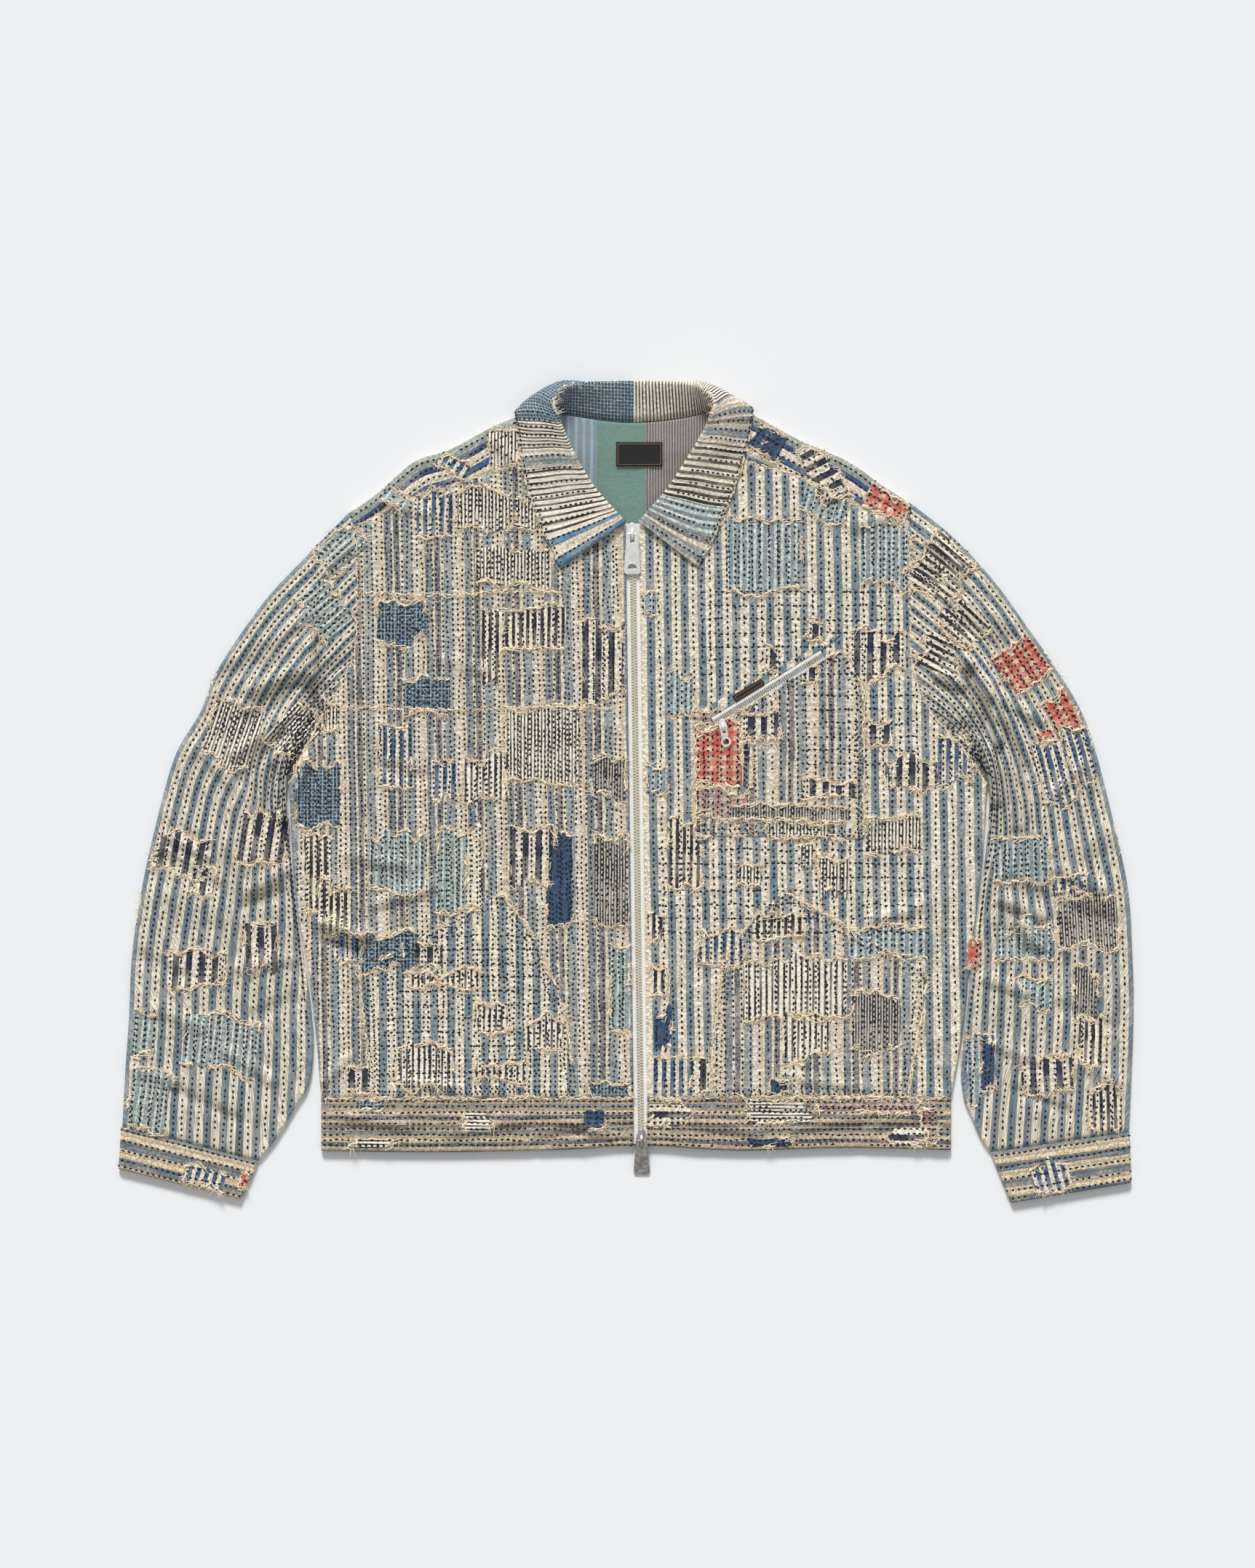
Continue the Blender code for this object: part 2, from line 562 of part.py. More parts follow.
def neck_seam(place):
    """A point just inside the neck edge, and its height where the stand is sewn on."""
    k = min(int(place), len(NECK) - 2)
    share = place - k
    here, there = np.array(NECK[k], float), np.array(NECK[k + 1], float)
    point = here * (1 - share) + there * share
    behind = np.array(NECK[max(k - 1, 0)] if share == 0 else NECK[k], float)
    along = unit(there - behind)
    inside = np.array([along[1], -along[0]])
    lying = YOKE_NECK_RIGHT < place < YOKE_NECK_LEFT
    inside = -inside if lying else inside
    corner = min(abs(place - YOKE_NECK_RIGHT), abs(place - YOKE_NECK_LEFT))
    if corner < 1e-6:
        side = 1.0 if place == YOKE_NECK_RIGHT else -1.0
        inside = unit(np.array([side, 1.2]))
    step_in = GAP + 0.4 if lying else COLLAR_SEAM_GAP
    point = point + inside * (step_in + (COLLAR_CORNER_GAP - step_in) * max(0, 1 - 2 * corner))
    z_high, z_low = upper(*point), lower(*point)
    blend = np.clip(0.5 - 2 * corner if lying else 0.5 + 1.5 * corner, 0, 1)
    return np.array([*point, z_low + (z_high - z_low) * blend])


def collar_rows():
    places = np.array([row[0] for row in COLLAR], float)
    guides = np.array([row[1:] for row in COLLAR], float)
    last = len(NECK) - 1
    stops = [last]
    for k in range(last):
        parts = COLLAR_CORNER_PARTS if k in COLLAR_CORNER_SPANS else 2
        stops += [k + part / parts for part in range(parts)]
    stops.sort()
    sections = [smooth_value(places, guides, stop) for stop in stops]
    folds = np.array([section[0] for section in sections])
    tangents = np.gradient(folds, axis=0)
    rows = []
    for stop, section, tangent in zip(stops, sections, tangents):
        fold, brow, heel, edge = section
        seam = neck_seam(stop)
        stand = unit(fold - seam)
        over = unit(np.cross(stand, unit(tangent)))
        centre = fold - COLLAR_ROLL * stand
        bend = [centre + COLLAR_ROLL * (math.sin(a) * over + math.cos(a) * stand)
                for a in np.radians((-90, -45, 0, 45, 90))]
        fall = smooth_line([bend[-1], brow, heel, edge], np.linspace(0, 1, 5))[1:]
        row = [seam, (seam + bend[0]) / 2] + bend + list(fall)
        rows.append([np.array([x, y, max(z, LOW)]) for x, y, z in row])
    return rows


cloth("collar", collar_rows(), "striped cloth")


# ---------------------------------------------------------------- pockets, labels and zips
half = WALL / 2
lay_on("pocket_right", front_right, POCKET_RIGHT, half + GAP, POCKET_WALL, "pocket cloth")
lay_on("pocket_left", front_left, POCKET_LEFT, half + GAP, POCKET_WALL, "pocket cloth")


def beside_zip(outline, side):
    """Cut an outline along the chest zip's tape and keep the part on one side of it."""
    start, end = [np.array(p, float) for p in CHEST_ZIP]
    along = unit(end - start)
    across = np.array([-along[1], along[0]]) * side
    limit = CHEST_TAPE_HALF + GAP
    kept = []
    for here, there in zip(outline, outline[1:] + outline[:1]):
        here, there = np.array(here, float), np.array(there, float)
        a, b = np.dot(here - start, across) - limit, np.dot(there - start, across) - limit
        if a >= 0:
            kept.append(here)
        if a * b < 0:
            kept.append(here + (there - here) * a / (a - b))
    return kept


lay_on("chest_pocket", front_left, beside_zip(CHEST_PATCH, -1), half + GAP, POCKET_WALL, "pocket cloth")
welt = lay_on("chest_welt", front_left, beside_zip(CHEST_PATCH, 1), half + GAP, POCKET_WALL, "pocket cloth")
lay_on("chest_zip_tape", front_left, strip(*CHEST_ZIP, CHEST_TAPE_HALF), half + GAP, TAPE_WALL, "zip tape")
lay_on("chest_zip_chain", front_left, strip(*CHEST_ZIP, CHEST_CHAIN_HALF), half + 2 * GAP + TAPE_WALL,
       CHAIN_WALL, "silver teeth")
lay_on("chest_tab", welt, strip(*CHEST_TAB), POCKET_WALL + GAP, LABEL_WALL, "black label")
lay_on("neck_label", yoke, NECK_LABEL, half + GAP, LABEL_WALL, "black label")


def flat_strip(node, near, far, y_foot, y_top, z_low, wall, name):
    """A strip beside the zip's centre line, from its near edge to its far one."""
    rows = [[(zip_x(y) + x, y, z_low) for x in (near, far)] for y in np.linspace(y_foot, y_top, 3)]
    return thicken(add_object(node, grid_mesh(node, rows), name), wall, 1)


TAPE_LOW = TOP - WALL / 2 - GAP - TAPE_WALL
flat_strip("zip_tape_right", -ZIP_TAPE_REACH, -GAP / 2, ZIP_FOOT[1] - 3, ZIP_TOP[1] + 2,
           TAPE_LOW, TAPE_WALL, "zip tape")
flat_strip("zip_tape_left", GAP / 2, ZIP_TAPE_REACH, ZIP_FOOT[1] - 3, ZIP_TOP[1] + 2,
           TAPE_LOW, TAPE_WALL, "zip tape")
flat_strip("zip_chain", -CHAIN_HALF, CHAIN_HALF, ZIP_FOOT[1] + 3, ZIP_TOP[1],
           TAPE_LOW + TAPE_WALL + GAP, CHAIN_WALL, "silver teeth")


# ---------------------------------------------------------------- sliders and pulls
def prism(name, outline, low, high, plane):
    """An outline pushed along the third axis: plane 'xy' runs up, plane 'yz' runs across."""
    shape = bmesh.new()
    if plane == "xy":
        verts = [shape.verts.new((x * MM, y * MM, low * MM)) for x, y in outline]
        push = (0, 0, (high - low) * MM)
    else:
        verts = [shape.verts.new((low * MM, y * MM, z * MM)) for y, z in outline]
        push = ((high - low) * MM, 0, 0)
    face = shape.faces.new(verts)
    grown = bmesh.ops.extrude_face_region(shape, geom=[face])
    moved = [g for g in grown["geom"] if isinstance(g, bmesh.types.BMVert)]
    bmesh.ops.translate(shape, verts=moved, vec=push)
    bmesh.ops.recalc_face_normals(shape, faces=shape.faces[:])
    mesh = bpy.data.meshes.new(name)
    shape.to_mesh(mesh)
    shape.free()
    return mesh


def join(thing, operation, mesh):
    """Add or cut another shape, which stays behind as a hidden tool."""
    tool = bpy.data.objects.new(f"{thing.name} {operation.lower()} tool", mesh)
    bpy.context.scene.collection.objects.link(tool)
    tool.hide_render = True
    tool.display_type = "WIRE"
    tool.parent = thing
    boolean = thing.modifiers.new(operation.lower(), "BOOLEAN")
    boolean.operation = operation
    boolean.object = tool


def scaled(outline, size):
    return [(a * size, b * size) for a, b in outline]


def slider(node, place, turn, size, name):
    """Plate, tongue and bail; the pull's axle lies at the object's origin, across the bail."""
    rise = AXLE_RISE * size
    plate = scaled([(-3.2, 10.2), (-SLIDER_HALF, 8.0), (-SLIDER_HALF, 0.6), (-1.4, -0.8), (-1.4, -5.4),
                    (1.4, -5.4), (1.4, -0.8), (SLIDER_HALF, 0.6), (SLIDER_HALF, 8.0), (3.2, 10.2)], size)
    bail = scaled([(-5.2, -2.2), (-5.0, -0.9), (-2.4, 1.5), (-1.2, 2.1), (3.2, 2.1), (4.6, 1.0), (4.8, -2.2),
                   (3.2, -2.2), (3.2, 1.1), (-1.2, 1.1), (-1.2, -2.2)], size)
    thing = add_object(node, prism(node, plate, -rise - SLIDER_PLATE, -rise, "xy"), name)
    join(thing, "UNION", prism(f"{node} bail", bail, -1.1 * size, 1.1 * size, "yz"))
    thing.location = np.array(place) * MM
    thing.rotation_euler = (0, 0, turn)
    return thing


def tapered_pull(node, place, reach, half_top, half_foot, drop, name, hole):
    """A long tab: an axle bar and slot at its head, a hole near its rounded foot."""
    rounding = [(half_foot * math.cos(a), -reach + 3.0 - 3.0 * math.sin(a))
                for a in np.radians((0, 25, 55, 90, 125, 155, 180))]
    outline = [(-half_top, AXLE_HALF), (half_top, AXLE_HALF)] + rounding
    slot = [(-PULL_SLOT_HALF, -AXLE_HALF), (PULL_SLOT_HALF, -AXLE_HALF),
            (PULL_SLOT_HALF, -AXLE_HALF - 7.8), (-PULL_SLOT_HALF, -AXLE_HALF - 7.8)]
    thing = add_object(node, prism(node, outline, -PULL_WALL / 2, PULL_WALL / 2, "xy"), name)
    join(thing, "DIFFERENCE", prism(f"{node} slot", slot, -PULL_WALL, PULL_WALL, "xy"))
    join(thing, "DIFFERENCE", prism(f"{node} hole", hole, -PULL_WALL, PULL_WALL, "xy"))
    thing.location = np.array(place) * MM
    thing.rotation_euler = (math.asin(drop / reach), 0, 0)
    return thing


MAIN_AXLE_Z = TAPE_LOW + TAPE_WALL + GAP + CHAIN_WALL + GAP + SLIDER_PLATE + AXLE_RISE
top_axle = (zip_x(233.5), 233.5, MAIN_AXLE_Z)
foot_axle = (zip_x(-317.0) + 0.6, -317.0, MAIN_AXLE_Z)
round_hole = [(3.7 * math.cos(a), -31.5 + 4.2 * math.sin(a)) for a in np.radians(range(0, 181, 20))]
straight_hole = [(-3.6, -28.0), (-2.6, -25.2), (-1.2, -24.4), (1.2, -24.4), (2.6, -25.2), (3.6, -28.0)]
slider("zip_slider_top", top_axle, 0.0, 1.0, "bright metal")
tapered_pull("zip_pull_top", top_axle, 36.3, 5.2, 7.2, MAIN_AXLE_Z - CHAIN_TOP - GAP - PULL_WALL / 2 - 0.6,
             "bright metal", round_hole)
slider("zip_slider_bottom", foot_axle, 0.0, 1.0, "aged nickel")
tapered_pull("zip_pull_bottom", foot_axle, 31.5, 5.2, 7.0, MAIN_AXLE_Z - 1.5, "aged nickel", straight_hole)


def ring_pull(node, place, turn, drop, name):
    """A short link with an axle bar, ending in a ring."""
    size = CHEST_HARDWARE
    axle = AXLE_HALF * size
    ring_y, ring_out, ring_in = -14.8, 4.4, 2.9
    sweep = math.asin(1.9 / ring_out)
    angles = np.linspace(math.pi / 2 - sweep, -1.5 * math.pi + sweep, 25)
    outline = [(-3.3, axle), (3.3, axle), (3.3, -8.2), (1.9, -9.6)]
    outline += [(ring_out * math.cos(a), ring_y + ring_out * math.sin(a)) for a in angles]
    outline += [(-1.9, -9.6), (-3.3, -8.2)]
    slot = scaled([(-PULL_SLOT_HALF, -AXLE_HALF), (PULL_SLOT_HALF, -AXLE_HALF),
                   (PULL_SLOT_HALF, -8.6), (-PULL_SLOT_HALF, -8.6)], size)
    eye = [(ring_in * math.cos(a), ring_y + ring_in * math.sin(a)) for a in np.radians(range(0, 360, 18))]
    thing = add_object(node, prism(node, outline, -0.6, 0.6, "xy"), name)
    join(thing, "DIFFERENCE", prism(f"{node} slot", slot, -1, 1, "xy"))
    join(thing, "DIFFERENCE", prism(f"{node} eye", eye, -1, 1, "xy"))
    thing.location = np.array(place) * MM
    thing.rotation_euler = (math.asin(drop / 19), 0, turn)
    return thing


CHEST_TURN = math.radians(11)
CHEST_AXLE = (77.5, 58.5, TOP + half + 2 * GAP + TAPE_WALL + CHAIN_WALL + GAP + SLIDER_PLATE
              + AXLE_RISE * CHEST_HARDWARE)
slider("chest_slider", CHEST_AXLE, CHEST_TURN, CHEST_HARDWARE, "bright metal")
ring_pull("chest_pull", CHEST_AXLE, CHEST_TURN, CHEST_AXLE[2] - TOP - half - GAP - POCKET_WALL - 1.4,
          "bright metal")
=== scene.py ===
# %% [markdown]
# # A patched work jacket, laid flat
# The real jacket is made of striped cotton, darned and patched over and over, and quilted with
# dark running stitches. This file dresses the plain solids of the part: each cloth panel gets a
# fine sheet with creases, the patches are sheets of their own, and stitches, frayed edges and zip
# teeth are grown by Geometry Nodes. All sizes below are in millimetres until a mesh is made.

# %% Load the frame
import math

import bmesh
import bpy
import numpy as np
from mathutils import Matrix, Vector
from mathutils.bvhtree import BVHTree


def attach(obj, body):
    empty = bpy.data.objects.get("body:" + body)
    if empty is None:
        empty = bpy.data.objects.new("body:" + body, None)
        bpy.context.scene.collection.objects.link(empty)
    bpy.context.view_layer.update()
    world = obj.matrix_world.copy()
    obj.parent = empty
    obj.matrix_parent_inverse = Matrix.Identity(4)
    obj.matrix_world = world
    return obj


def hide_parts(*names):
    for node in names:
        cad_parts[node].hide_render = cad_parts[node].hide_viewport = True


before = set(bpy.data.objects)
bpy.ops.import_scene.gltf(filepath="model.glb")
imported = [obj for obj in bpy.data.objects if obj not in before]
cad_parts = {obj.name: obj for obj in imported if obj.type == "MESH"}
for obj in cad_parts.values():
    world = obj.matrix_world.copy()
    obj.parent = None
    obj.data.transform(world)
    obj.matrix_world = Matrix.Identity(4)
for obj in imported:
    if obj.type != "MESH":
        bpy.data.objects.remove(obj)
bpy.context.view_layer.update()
MM = 0.001
CLOTH = 1.5               # thickness of the visible cloth
print("nodes to dress:", len(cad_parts))

# %% [markdown]
# ## Sizes of the cut
# The outlines are those of the solids. A sheet could be copied from its solid, but the solids are
# faceted, so the same outlines are drawn again here through smooth curves.

# %% Outlines of the panels
LOW, TOP = 1.0, 5.7
ROLL = (TOP - LOW) / 2
YOKE_SEAM_Y, HEM_SEAM_Y = 165.0, -278.5
ZIP_TOP, ZIP_FOOT = (-5.0, 241.0), (3.0, -317.0)
ZIP_HALF_OPENING = 6.2
ROW_GAP, WORN_ROW_GAP = 7.75, 4.55        # between the lines of running stitch
SIDE = [  # y, x_right, x_left
    (-278.5, -286.5, 283.5), (-240.0, -289.5, 290.3), (-195.0, -294.0, 296.8),
    (-150.0, -300.5, 300.5), (-110.0, -308.0, 306.5), (-60.0, -312.5, 312.0), (7.0, -315.5, 316.5)]
ARMHOLE_RIGHT = [(-315.5, 7), (-294, 55), (-266, 103), (-256.5, 134), (-254.5, 165),
                 (-255, 203), (-257.7, 240), (-262, 252)]
ARMHOLE_LEFT = [(316.5, 7), (292, 42), (262, 78), (248.5, 116), (246.8, 165),
                (246.8, 200), (246.5, 233), (248.5, 260)]
NECK_RIGHT = [(-13, 239), (-45, 253), (-70, 273), (-90, 303)]
NECK_LEFT = [(6, 239), (37, 253), (62, 273), (84, 303)]
NECK_BACK = [(-90, 346), (-60, 341), (-32, 336.5), (-4, 334.6), (25, 336.5), (52, 341), (82, 350)]
NECK = NECK_RIGHT + [(-94, 325)] + NECK_BACK + [(88, 325)] + NECK_LEFT[::-1]
FOLD_RIGHT = [(-90, 346), (-118, 336), (-134, 329), (-172, 309), (-202, 299), (-236, 270), (-262, 252)]
FOLD_LEFT = [(82, 350), (105, 341), (145, 319), (190, 299), (219, 279), (248.5, 260)]
SEAM_RIGHT = [(-90, 303), (-164, 279), (-208, 265), (-257.7, 240)]
SEAM_LEFT = [(84, 303), (130, 291), (171, 275), (210, 254), (229, 248), (246.5, 233)]
SLEEVE_OUTER_RIGHT = [(-262, 252), (-302, 211), (-339, 171), (-380, 111), (-396, 72), (-419, 32),
                      (-436, -28), (-449, -87), (-458, -147), (-461, -206), (-464, -250), (-467, -304)]
SLEEVE_INNER_RIGHT = [(-321, 11), (-316.4, -60), (-311.3, -110), (-303.8, -150), (-297.5, -195),
                      (-295, -232), (-299, -265), (-311, -286), (-328, -314), (-345, -335)]
SLEEVE_OUTER_LEFT = [(248.5, 260), (286, 230), (323, 190), (352, 150), (379, 111), (402, 72),
                     (416, 32), (431, -28), (444, -87), (448, -147), (449, -206), (445, -309)]
SLEEVE_INNER_LEFT = [(322, 11), (316, -60), (309.8, -110), (303.8, -150), (300.2, -195),
                     (293.8, -240), (296, -275), (304, -296), (312, -314), (321, -327)]
CUFF_RIGHT = [(-468, -304.5), (-345, -335.5), (-360, -370.5), (-470.5, -343)]
CUFF_LEFT = [(445.5, -309.5), (321, -327.5), (339.5, -373.5), (447, -355.5)]
HEM = [(-300, -326), (-180, -327.5), (-60, -325), (0, -321), (90, -326), (190, -323.5), (300, -326)]
POCKET_RIGHT = [(-252.5, -163.7), (-241.5, -277.5), (-56, -277.5), (-66, -199), (-93.5, -133), (-123, -92.5)]
POCKET_LEFT = [(133, -91), (104, -116), (76, -157), (68.5, -230), (68.3, -277.5), (244, -277.5),
               (263.5, -172), (259, -162)]
CHEST_ZIP = ((69.0, 62.7), (168.0, 124.0))
CHEST_POCKET = [(52, 46.5), (52, -40), (205, -43), (205, 95), (184.5, 128.5), (176, 124), (66, 57)]
CHEST_WELT = [(52, 71), (52, 59), (62, 64), (174.5, 134), (181, 139), (183, 143)]
CHEST_TAB = ((87.5, 83.5), (113.5, 99.5), 3.4)

# %% [markdown]
# ## Folds
# A fold could be simulated, but a laid-out garment keeps folds that came from handling. So the
# main ones are listed, as soft ridges (positive) and troughs (negative) between two
# places. Quilting also gathers the cloth into many small puckers. Those are scattered with a
# fixed seed, across the stitching.

# %% Folds of the upper layer
FOLDS = [  # x0, y0, x1, y1, half width, height
    (-299, 128, -296, 78, 17, 5.0), (-318, 50, -352, -62, 22, 3.5), (-425, -18, -372, -52, 20, 3.0),
    (-436, -92, -372, -112, 20, 2.5), (-405, -185, -376, -282, 24, 2.5), (308, 112, 330, 66, 17, 5.5),
    (334, 52, 352, -50, 22, 3.5), (368, -62, 424, -38, 20, 3.0), (352, -128, 418, -150, 20, 2.5),
    (392, -190, 372, -284, 24, 2.5), (-238, 52, -226, -52, 26, 2.2), (244, 40, 236, -50, 26, 2.2),
    (284, -8, 268, -96, 22, 2.0), (-284, -40, -272, -120, 22, 2.0)]
CREASES = [  # x0, y0, x1, y1, half width, height
    # right armpit: the sharp fold, the pocket of shade beside it and what radiates from them
    (-292, 138, -287, 92, 7, -4.6), (-299, 140, -295, 100, 8, 4.6), (-297, 94, -290, 62, 13, -6.0),
    (-283, 108, -262, 118, 8, -2.0), (-312, 96, -352, 66, 10, -3.5), (-306, 112, -350, 92, 9, 3.0),
    (-318, 70, -366, 34, 9, 2.5), (-322, 52, -362, 8, 9, -2.6), (-300, 30, -322, -22, 9, 3.0),
    (-330, 20, -345, -40, 8, -2.4), (-335, 135, -300, 160, 10, 1.8), (-345, 118, -385, 100, 9, -1.6),
    # right elbow and forearm
    (-430, -60, -380, -88, 9, -2.2), (-424, -40, -392, -58, 8, 2.2), (-350, -88, -318, -70, 10, 2.6),
    (-356, -104, -322, -92, 8, -2.4), (-452, -150, -410, -168, 9, -1.6), (-360, -160, -318, -150, 10, 2.0),
    (-440, -196, -395, -214, 10, 1.6), (-350, -205, -312, -190, 9, -1.8), (-455, -252, -420, -262, 9, 1.6),
    (-372, -236, -330, -262, 9, 2.0), (-420, -272, -360, -300, 8, -1.8), (-398, 38, -366, 6, 9, 2.0),
    # left armpit
    (296, 122, 318, 88, 8, 3.5), (302, 108, 312, 66, 11, -6.5), (319, 100, 328, 48, 8, 5.5),
    (273, 98, 299, 86, 8, -3.4), (270, 108, 298, 98, 8, 2.4), (318, 40, 324, -8, 8, 3.2),
    (328, 60, 352, 20, 9, -3.0), (330, 84, 366, 66, 9, 2.4), (286, 60, 310, 56, 7, -2.0),
    (296, 150, 330, 132, 9, -2.0), (340, 150, 300, 172, 10, 1.6), (334, 30, 344, -30, 8, 2.4),
    # left elbow and forearm
    (336, -82, 372, -96, 9, -3.6), (332, -98, 366, -112, 9, 3.4), (342, -128, 350, -146, 8, -3.6),
    (352, -120, 362, -140, 8, 3.0), (380, -70, 424, -88, 10, 2.2), (400, -108, 436, -120, 9, -1.8),
    (318, -170, 352, -182, 9, 2.2), (384, -196, 430, -214, 10, -1.6), (322, -228, 362, -244, 9, 2.0),
    (400, -246, 436, -262, 9, 1.8), (346, -272, 392, -292, 8, -1.8), (402, 24, 376, -4, 9, 2.0),
    # shoulders
    (-230, 262, -190, 252, 9, 1.6), (226, 252, 196, 240, 9, 1.8), (-262, 222, -286, 200, 8, 2.0),
    (262, 232, 296, 204, 8, 2.2), (-130, 318, -108, 296, 9, 1.8), (118, 322, 104, 296, 9, 1.8),
    # fronts, above and beside the lower pockets, and along the hem
    (-288, -118, -246, -130, 8, 3.4), (-284, -134, -250, -146, 7, -2.4), (-240, -102, -188, -86, 9, 2.0),
    (-262, -58, -214, -66, 10, 1.6), (-236, 22, -190, 12, 10, -1.5), (-180, 120, -140, 112, 9, 1.4),
    (278, -130, 262, -176, 8, -1.8), (256, -104, 212, -116, 9, 1.8), (40, -96, 34, -172, 10, 1.6),
    (-40, -110, -30, -190, 10, 1.5), (-262, -240, -284, -262, 8, 2.0), (262, -222, 276, -262, 9, -1.8),
    (232, 20, 214, -30, 9, 2.0), (30, 60, 22, -20, 10, 1.2), (-210, -262, -160, -270, 8, 1.6),
    (150, -262, 210, -268, 8, 1.6),
    # waistband
    (-262, -296, -210, -304, 8, 1.8), (-170, -310, -110, -298, 9, 1.6), (-70, -298, -24, -312, 8, 1.8),
    (-90, -318, -50, -308, 6, -1.4), (50, -300, 110, -310, 8, 1.6), (140, -306, 200, -296, 8, 1.6),
    (220, -310, 268, -300, 7, -1.4)]


def distance_from(x, y, x0, y0, x1, y1):
    """How far each place lies from the straight line between two places."""
    ax, ay = x1 - x0, y1 - y0
    along = np.clip(((x - x0) * ax + (y - y0) * ay) / (ax * ax + ay * ay), 0, 1)
    return np.hypot(x - x0 - along * ax, y - y0 - along * ay)


def soft_bumps(x, y, rows):
    """The sum of the folds at each place: full height on a fold's line and nothing at its edge."""
    total = np.zeros(np.shape(x))
    for x0, y0, x1, y1, half, height in rows:
        away = distance_from(x, y, x0, y0, x1, y1)
        total += height * np.where(away < half, 0.5 + 0.5 * np.cos(np.pi * away / half), 0)
    return total


def scattered_puckers():
    """Small gathers across the stitching: level ones on the body, slanted ones on the sleeves."""
    chance = np.random.default_rng(11)
    rows = []
    for _ in range(900):
        x, y = chance.uniform(-460, 460), chance.uniform(-330, 300)
        sleeve = abs(x) > 318 or (abs(x) > 262 and y > 40)
        slant = math.copysign(0.45, -x) if sleeve else 0.0
        angle = slant + chance.normal(0, 0.35)
        reach = chance.uniform(4, 13)
        dx, dy = reach * math.cos(angle), reach * math.sin(angle)
        height = chance.uniform(0.35, 0.95) * chance.choice([-1, 1, 1])
        rows.append((x - dx, y - dy, x + dx, y + dy, chance.uniform(3.2, 5.5), height))
    return rows


PUCKERS = scattered_puckers()
SEAMS = [ARMHOLE_RIGHT, ARMHOLE_LEFT, SEAM_RIGHT, SEAM_LEFT, [(-287, HEM_SEAM_Y), (284, HEM_SEAM_Y)],
         [SLEEVE_OUTER_RIGHT[-1], SLEEVE_INNER_RIGHT[-1]], [SLEEVE_OUTER_LEFT[-1], SLEEVE_INNER_LEFT[-1]]]
LOWEST_TOP = 3.0          # where a trough of the upper layer meets the layer below
DEEPEST_DIP = 0.4         # a trough levels off this far below that, clear of the layer below
CREASE_RELIEF = 2.3       # how much deeper the creases are than their table says
print("folds:", len(FOLDS) + len(CREASES), "puckers:", len(PUCKERS))

# %% [markdown]
# The height of each layer follows from those tables. The neck is a little raised, because part
# of the collar is tucked under it.

# %% Heights of the two layers
def neck_lift(x, y):
    return 2.4 * np.clip((y - 285) / 25, 0, 1) * np.clip((116 - np.abs(x)) / 16, 0, 1)


def seam_dips(x, y):
    """A seam pulls the cloth down a little along its line."""
    nearest = np.full(np.shape(x), np.inf)
    for line in SEAMS:
        for (x0, y0), (x1, y1) in zip(line, line[1:]):
            nearest = np.minimum(nearest, distance_from(x, y, x0, y0, x1, y1))
    return -1.3 * np.clip(1 - nearest / 4.5, 0, 1) ** 2


def upper(x, y):
    height = TOP + neck_lift(x, y) + soft_bumps(x, y, FOLDS + PUCKERS) + seam_dips(x, y)
    height = height + CREASE_RELIEF * soft_bumps(x, y, CREASES)
    below = np.minimum(height - LOWEST_TOP, 0)
    return np.maximum(height, LOWEST_TOP) + DEEPEST_DIP * np.expm1(0.3 * below / DEEPEST_DIP)


def lower(x, y):
    return LOW + neck_lift(x, y)


def zip_x(y):
    share = (ZIP_TOP[1] - y) / (ZIP_TOP[1] - ZIP_FOOT[1])
    return ZIP_TOP[0] + share * (ZIP_FOOT[0] - ZIP_TOP[0])


# %% [markdown]
# ## Curves and grids
# A panel is a grid between its edges. Each edge is one smooth curve, and a Coons patch fills the
# inside. `smooth` gives evenly spaced places on a curve, and `coons` the grid.

# %% Curve helpers
def lengths(path):
    """Distance along a path at each of its places."""
    return np.concatenate([[0], np.cumsum(np.linalg.norm(np.diff(path, axis=0), axis=1))])


def even(line, shares):
    """Places along a line at shares of its length. A whole number asks for that many."""
    line = np.array(line, float)
    if np.isscalar(shares):
        shares = np.linspace(0, 1, shares)
    way = lengths(line)
    return np.stack([np.interp(shares * way[-1], way, c) for c in line.T], axis=1)


def smooth(points, shares):
    """The same, on a smooth curve through the points."""
    p = np.array(points, float)
    p = np.vstack([2 * p[0] - p[1], p, 2 * p[-1] - p[-2]])
    t = np.linspace(0, 1, 12, endpoint=False)[:, None]
    runs = [0.5 * (2 * b + (c - a) * t + (2 * a - 5 * b + 4 * c - d) * t ** 2
                   + (3 * b - a - 3 * c + d) * t ** 3)
            for a, b, c, d in zip(p, p[1:], p[2:], p[3:])]
    return even(np.vstack(runs + [p[-2:-1]]), shares)


def coons(foot, head, left, right, climb):
    """A grid of places between four edges: rows from foot to head, columns from left to right."""
    u = np.linspace(0, 1, len(foot))[None, :, None]
    v = climb[:, None, None]
    return ((1 - v) * foot[None] + v * head[None] + (1 - u) * left[:, None] + u * right[:, None]
            - (1 - u) * ((1 - v) * left[0] + v * left[-1]) - u * ((1 - v) * right[0] + v * right[-1]))


def raised(place, height):
    """Places in the plane, at the height that a layer has there."""
    return np.concatenate([place, height(place[..., 0], place[..., 1])[..., None]], axis=-1)


def unit(vectors):
    return vectors / np.linalg.norm(vectors, axis=-1, keepdims=True)


def half_turn(edge, outward, angles):
    """Places round a fold: -90 degrees is the lower layer, 0 the edge and 90 the upper layer."""
    centre = edge - ROLL * outward
    z_low, z_high = lower(*centre.T), upper(*centre.T)
    middle, reach = (z_low + z_high) / 2, (z_high - z_low) / 2
    turns = []
    for angle in np.radians(angles):
        place = centre + ROLL * math.cos(angle) * outward
        turns.append(np.column_stack([place, middle + reach * math.sin(angle)]))
    return np.stack(turns, axis=1)


